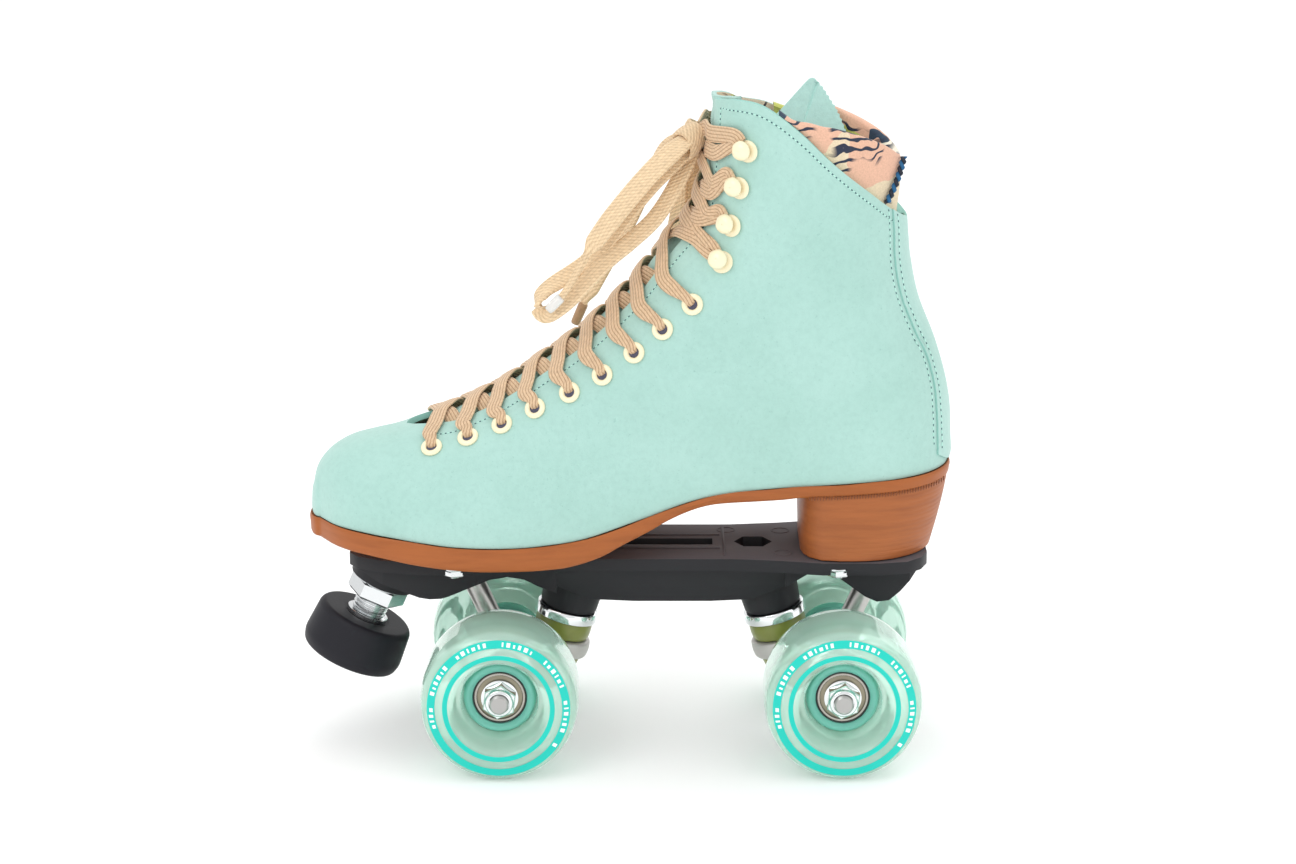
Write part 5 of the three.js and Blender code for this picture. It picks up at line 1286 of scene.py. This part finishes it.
# the moulded details share the top's lighter grey, painted light
make("plate_details", v, f, NYLON_TOP_PAINTED_LIGHT, slot="nylon")

# mounting bolts
for i, (x, y, nm) in enumerate(((-80, -25, "front_inner"), (-80, 25, "front_outer"), (78.5, -25, "rear_inner"), (78.5, 25, "rear_outer"))):
    M = T(x, y, 0)
    pieces_ = [lathe(rounded([(0.02, PT - 7.6), (2.3, PT - 7.6), (2.5, PT - 7.0), (2.5, PT - 0.3), (0.02, PT - 0.3)], 0.15, 2), 24, M)]
    pieces_.append(lathe(rounded([(2.5, 81.5), (5.9, 81.5), (6.0, 80.9), (5.2, 80.5), (2.5, 80.5)], 0.15, 3), 40, M))
    pieces_.append(prism(hexagon(5.1, 0.3), PT - 6.6, 80.7, M, 0.5))
    v, f = merge(pieces_)
    sharp(make("mount_nut_" + nm, v, f, ZINC, replaces="mount_bolt_" + nm, slot="zinc"), 30)

# ------------------------------------------------------------------ toe stop
TT = math.radians(24)
TF = T(-118.6, 0, 52.6) @ R("y", TT)
TR, TH = 20.6, 20.5
prof = rounded([(8.4, -1.2), (10.4, -0.5, 0.4), (TR - 1.6, 0.0, 1.4), (TR - 0.2, -1.8, 1.0), (TR + 0.95, -TH + 5, 1.5), (TR - 0.3, -TH + 0.8, 1.6), (TR - 3.4, -TH, 1.5), (0.02, -TH), (0.02, -9)], 0.01, 5)
v, f = lathe(prof, 96, TF)
make("toe_stop_block", v, f, RUBBER, body="toe_stop", replaces="toe_stop_rubber", slot="stop_rubber")
stem = [(0.02, -9)] + [(8.3, -9), (8.3, -1.3), (8.9, -1.0), (8.9, 1.0), (8.3, 1.5), (7.0, 1.6)]
z = 1.8
while z < 27:
    stem += [(6.75, z), (7.4, z + 0.45), (7.4, z + 0.6), (6.75, z + 1.05)]
    z += 1.5
stem += [(6.2, 27.5), (0.02, 27.5)]
v, f = lathe(stem, 64, TF)
sharp(make("toe_stop_screw", v, f, ZINC, body="toe_stop", replaces="toe_stop_stem", slot="zinc"), 40)
nut = [prism(hexagon(12.5, 0.0), 8.3, 15.6, TF, 0.9), lathe(rounded([(7.6, 15.4), (11.6, 15.4), (11.9, 15.9), (7.6, 15.95)], 0.15, 2), 48, TF)]
v, f = merge(nut)
sharp(make("toe_stop_jam_nut", v, f, ZINC, replaces="toe_stop_nut", slot="zinc"), 30)

# ------------------------------------------------------------------ trucks
YC, YH = -14.2, 7.6
for rear, e in ((False, "front"), (True, "rear")):
    B = e + "_truck"
    k, a = kp_frame(rear), arm_frame(rear)
    ax = RX if rear else FX
    sg = -1 if rear else 1
    along = T(ax, 0, AZ) @ R("x", math.pi / 2)
    # hanger: axle tube, yoke, web and pivot arm
    items = []
    items.append(lathe(rounded([(4.3, -23.4), (7.4, -23.4, 0.8), (8.2, -15, 3), (8.6, -8, 3), (9.3, 0, 6), (8.6, 8, 3), (8.2, 15, 3), (7.4, 23.4, 0.8), (4.3, 23.4)], 0.5), 64, along))
    items.append(lathe(rounded([(8.2, YC - YH / 2 + 0.1), (12.6, YC - YH / 2 + 0.1, 1.3), (13.3, YC, 2.5), (12.9, YC + YH / 2 - 0.1, 1.3), (8.2, YC + YH / 2 - 0.1)], 0.4), 72, k))
    yc = k @ Vector((0, 0, YC))
    dx, dz = ax - yc.x, AZ - yc.z
    L = math.hypot(dx, dz)
    web = T(yc.x, 0, yc.z) @ R("y", -math.atan2(dz, dx))
    outline = [(11.6, -10.6), (13.5, -9.4), (L - 3, -8.4), (L, -8.4), (L, 8.4), (L - 3, 8.4), (13.5, 9.4), (11.6, 10.6)]
    items.append(prism(outline, -3.1, 3.3, web, 1.1))
    px_, pz_ = piv(rear)
    foot_x = RX - 3.2 if rear else FX + 3.2
    al = math.hypot(px_ - foot_x, pz_ - AZ)
    v, f = merge(items)
    hang = make(e + "_hanger", v, f, CAST, body=B, replaces=e + "_truck_hanger", slot="cast_alloy")
    sharp(hang, 40)
    ball = [(0.02, -al + 2), (7.2, -al + 2), (6.0, -al + 9), (4.9, -al + 13), (4.5, -al + 20), (4.4, -6.0), (3.9, -3.9)]
    ball += [(4.9 * math.cos(t), 4.9 * math.sin(t)) for t in np.linspace(-0.62, math.pi / 2 - 0.01, 9)]
    ball += [(0.02, 4.95)]
    v, f = lathe(ball, 48, a)
    make(e + "_pivot_arm", v, f, STRUT, body=B, slot="cast_alloy")
    # axle with its threaded ends
    ends = []
    for sgn in (-1, 1):
        pass
    prof = [(0.02, -59.5), (3.3, -59.5), (3.85, -59.0)]
    z = -58.6
    while z < -49.5:
        prof += [(3.6, z), (3.88, z + 0.25), (3.88, z + 0.4), (3.6, z + 0.65)]
        z += 0.9
    prof += [(3.88, -49), (3.88, 49)]
    z = 49.3
    while z < 58.4:
        prof += [(3.6, z), (3.88, z + 0.25), (3.88, z + 0.4), (3.6, z + 0.65)]
        z += 0.9
    prof += [(3.85, 59.0), (3.3, 59.5), (0.02, 59.5)]
    v, f = lathe(prof, 40, along)
    sharp(make(e + "_axle_rod", v, f, AXLE, body=B, replaces=e + "_axle", slot="steel"), 40)
    # kingpin with its nut, retainer washers and cushions
    prof = [(0.02, -34.5), (4.2, -34.5), (4.75, -33.9)]
    z = -33.4
    while z < -29:
        prof += [(4.45, z), (4.75, z + 0.3), (4.75, z + 0.45), (4.45, z + 0.75)]
        z += 1.05
    prof += [(4.75, -28.6), (4.75, 21.4), (0.02, 21.4)]
    v, f = lathe(prof, 40, k)
    sharp(make(e + "_kingpin_rod", v, f, ZINC, replaces=e + "_kingpin", slot="zinc"), 40)
    low = YC - YH / 2
    v, f = merge([
        lathe(rounded([(5.2, low - 10.5), (8.9, low - 10.4, 0.6), (9.4, low - 11.2, 0.4), (8.8, low - 11.9, 0.4), (5.2, low - 11.9)], 0.2, 3), 56, k),
        prism(hexagon(7.9, 0.2), low - 18.3, low - 11.8, k, 0.6),
    ])
    sharp(make(e + "_kingpin_locknut", v, f, ZINC, replaces=e + "_kingpin_nut", slot="zinc"), 32)
    v, f = lathe(rounded([(5.3, 2.3), (5.3, 0.8), (10.9, 0.8, 0.2), (11.6, 0.2, 0.4), (12.3, -2.2, 0.3), (13.25, -2.2, 0.35), (13.3, 0.6, 0.7), (12.9, 2.2, 0.5)], 0.2, 4), 88, k)
    make(e + "_retainer_cup", v, f, CHROME, replaces=e + "_cushion_retainer", slot="zinc")
    top = YC + YH / 2
    v, f = lathe(rounded([(5.4, top + 0.3), (11.4, top + 0.3, 0.8), (12.0, top + 3.0, 2), (12.0, -3.4, 1.5), (10.8, 0.5, 0.4), (5.4, 0.5)], 0.3, 5), 80, k)
    cu = make(e + "_cushion_top", v, f, OLIVE, body=None, replaces=e + "_cushion_upper", slot="cushion")
    p0, p1 = k @ Vector((0, 0, 0)), k @ Vector((0, 0, top))
    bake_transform(cu)
    v, f = lathe(rounded([(5.4, low - 0.3), (5.4, low - 10), (8.4, low - 10, 0.8), (10.6, low - 0.4, 0.8)], 0.3, 5), 72, k)
    cl = make(e + "_cushion_bottom", v, f, OLIVE, body=None, replaces=e + "_cushion_lower", slot="cushion")
    p0, p1 = k @ Vector((0, 0, low - 10)), k @ Vector((0, 0, low))
    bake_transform(cl)
    v, f = lathe(rounded([(5.4, 5.8), (8.2, 5.8), (8.2, -7.2), (7.7, -7.4), (5.6, -1.5)], 0.3, 3), 40, a)
    make(e + "_pivot_seat", v, f, NYLON, replaces=e + "_pivot_cup", slot="nylon")

# ------------------------------------------------------------------ wheels
H = 19.0
IN, OUT, BH = 29 - 44, 45.5 - 44, 3.5
TYRE = rounded([
    (16.4, -H + 0.6, 0.6), (20.5, -H + 0.2, 2.0), (25.0, -H, 2.5), (29.2, -H + 1.4, 2.5), (31.6, -15.2, 3.0), (32.5, -9.5, 4.0),
    (32.5, 9.5, 4.0), (31.6, 15.2, 3.0), (29.4, H - 1.1, 2.5), (25.6, H, 2.0), (21.6, H - 0.1, 1.2), (20.4, H - 0.7, 0.8),
    (18.6, H - 2.6, 1.2), (15.9, H - 8.6, 1.6), (15.3, 4.5, 0.5), (15.3, -H + 3, 0.5)], 1.0, 6)
for rear, e in ((False, "front"), (True, "rear")):
    for sd, nm in ((-1, "inner"), (1, "outer")):
        B = e + "_" + nm + "_wheel"
        ax = RX if rear else FX
        M = T(ax, sd * 44, AZ) @ R("x", math.pi / 2 if sd < 0 else -math.pi / 2)
        n_ = e + "_" + nm
        v, f = lathe(TYRE, 144, M)
        tyre = make(n_ + "_urethane", v, f, URETHANE, body=B, replaces=n_ + "_tyre", slot="urethane")
        hub = rounded([(15.1, -H + 3.2), (15.1, OUT + BH - 1.2, 0.6), (14.2, OUT + BH + 1.4, 0.9), (12.8, OUT + BH + 1.6, 0.8), (11.2, OUT + BH + 0.4, 0.2), (11.2, OUT - BH - 0.2), (8.8, OUT - BH - 0.2), (8.8, IN + BH + 0.2), (11.2, IN + BH + 0.2), (11.2, IN - BH - 0.3), (14.2, IN - BH - 0.3)], 0.2, 3)
        v, f = lathe(hub, 72, M)
        make(n_ + "_core", v, f, HUB, body=B, replaces=n_ + "_hub", slot="hub")
        for y, w in ((IN, "inboard"), (OUT, "outboard")):
            race = merge([
                lathe(rounded([(4.3, y - BH), (5.9, y - BH), (6.0, y + BH), (4.3, y + BH)], 0.25, 3), 48, M),
                lathe(rounded([(9.4, y - BH), (10.5, y - BH), (10.5, y + BH), (9.4, y + BH)], 0.25, 3), 64, M),
            ])
            v, f = race
            make(n_ + "_race_" + w, v, f, STEEL, body=B, replaces=n_ + "_bearing_" + w, slot="bearing")
            v, f = lathe(rounded([(6.0, y - BH + 0.5), (9.4, y - BH + 0.5), (9.4, y + BH - 0.5), (7.2, y + BH - 0.35), (6.0, y + BH - 0.6)], 0.15, 2), 56, M)
            make(n_ + "_shield_" + w, v, f, SHIELD, body=B, slot="bearing")
            # dark ring round the race: painted shade in the seam
            v, f = lathe(rounded([(10.5, y - BH), (11.0, y - BH), (11.0, y + BH + 0.15), (10.5, y + BH + 0.05)], 0.1, 2), 64, M)
            make(n_ + "_rim_" + w, v, f, BEARING_GAP_SHADE, body=B, slot="bearing")
        face = OUT + BH
        nut = merge([
            lathe(rounded([(4.3, face + 0.3), (7.6, face + 0.3), (7.7, face + 1.1), (4.3, face + 1.2)], 0.2, 2), 40, M),
            prism(hexagon(7.35, 0.4), face + 1.2, face + 6.6, M, 0.55),
            lathe(rounded([(4.2, face + 6.2), (6.1, face + 6.2, 0.2), (5.6, face + 8.1, 0.8), (4.2, face + 8.4, 0.2)], 0.2, 4), 40, M),
        ])
        v, f = nut
        sharp(make(n_ + "_locknut", v, f, CHROME, body=e + "_truck", replaces=n_ + "_axle_nut", slot="zinc"), 32)
        # printed rings on the outer face
        def ring_strip(r0, r1, a0, a1, lift=0.06, segs=140):
            rows = []
            tyre_z = lambda r: np.interp(r, [20.4, 21.6, 25.6, 29.4, 31.6], [H - 0.55, H - 0.08, H + 0.0, H - 1.05, 15.4])
            for aa in np.linspace(a0, a1, segs):
                row = []
                for r in np.linspace(r0, r1, 5):
                    row.append(tuple(M @ Vector((r * math.cos(aa), r * math.sin(aa), tyre_z(r) + lift))))
                rows.append(row)
            return grid(rows)
        v, f = merge([ring_strip(26.0, 29.2, 0, 2 * math.pi), ring_strip(20.9, 22.9, 0, 2 * math.pi)])
        make(n_ + "_print", v, f, INK, body=B, slot="urethane")
        marks = []
        a = math.radians(198)
        step = 0
        while a > math.radians(-38):
            w = (0.055, 0.03, 0.045, 0.06, 0.025)[step % 5]
            if step % 7 not in (4,):
                marks.append(ring_strip(26.7, 28.5 if step % 3 else 28.1, a - w, a, 0.1, 4))
            a -= w + (0.045 if step % 7 != 4 else 0.13)
            step += 1
        v, f = merge(marks)
        make(n_ + "_print_marks", v, f, INK_WHITE, body=B, slot="urethane")


# ------------------------------------------------------------------ studio
floor = bpy.data.meshes.new("floor")
floor.from_pydata([(-6, -6, 0), (6, -6, 0), (6, 6, 0), (-6, 6, 0)], [], [(0, 1, 2, 3)])
floor_o = bpy.data.objects.new("floor", floor)
scene.collection.objects.link(floor_o)
FLOOR = material("floor_white", (0.97, 0.97, 0.97), 0.9, Emission_Color=(1, 1, 1, 1), Emission_Strength=0.12)
floor.materials.append(FLOOR)
world = bpy.data.worlds.new("studio")
scene.world = world
world.use_nodes = True
bg = world.node_tree.nodes["Background"]
bg.inputs[0].default_value = (1, 1, 1, 1)
bg.inputs[1].default_value = 0.94


def area(name, loc, target, size, power, colour=(1, 1, 1)):
    l = bpy.data.lights.new(name, "AREA")
    l.shape = "RECTANGLE"
    l.size, l.size_y = size
    l.energy = power
    l.color = colour
    o = bpy.data.objects.new(name, l)
    o.location = loc
    o.rotation_euler = (Vector(target) - Vector(loc)).to_track_quat("-Z", "Y").to_euler()
    scene.collection.objects.link(o)
    return o


area("key", (-0.7, -1.0, 1.1), (0, 0, 0.14), (0.9, 0.9), 4.6)
area("fill", (1.1, -0.8, 0.6), (0, 0, 0.12), (0.9, 0.9), 1.6)
area("top", (0.1, 0.2, 1.3), (0, 0, 0.1), (1.2, 1.0), 3.0)
area("rim", (0.5, 1.0, 0.8), (0, 0, 0.15), (0.8, 0.8), 2.0)

cam = bpy.data.cameras.new("camera")
cam.sensor_fit = "HORIZONTAL"
cam.sensor_width = 36
cam.lens = 96.2
cam.clip_start = 0.05
cam_o = bpy.data.objects.new("camera", cam)
cam_o.location = (SHIFT / 1000, -1.388, 0.519)
cam_o.rotation_euler = (math.pi / 2 - 0.272, 0, 0)
scene.collection.objects.link(cam_o)
scene.camera = cam_o
scene.view_settings.view_transform = "Standard"
scene.view_settings.look = "None"
scene.view_settings.exposure = 0.0
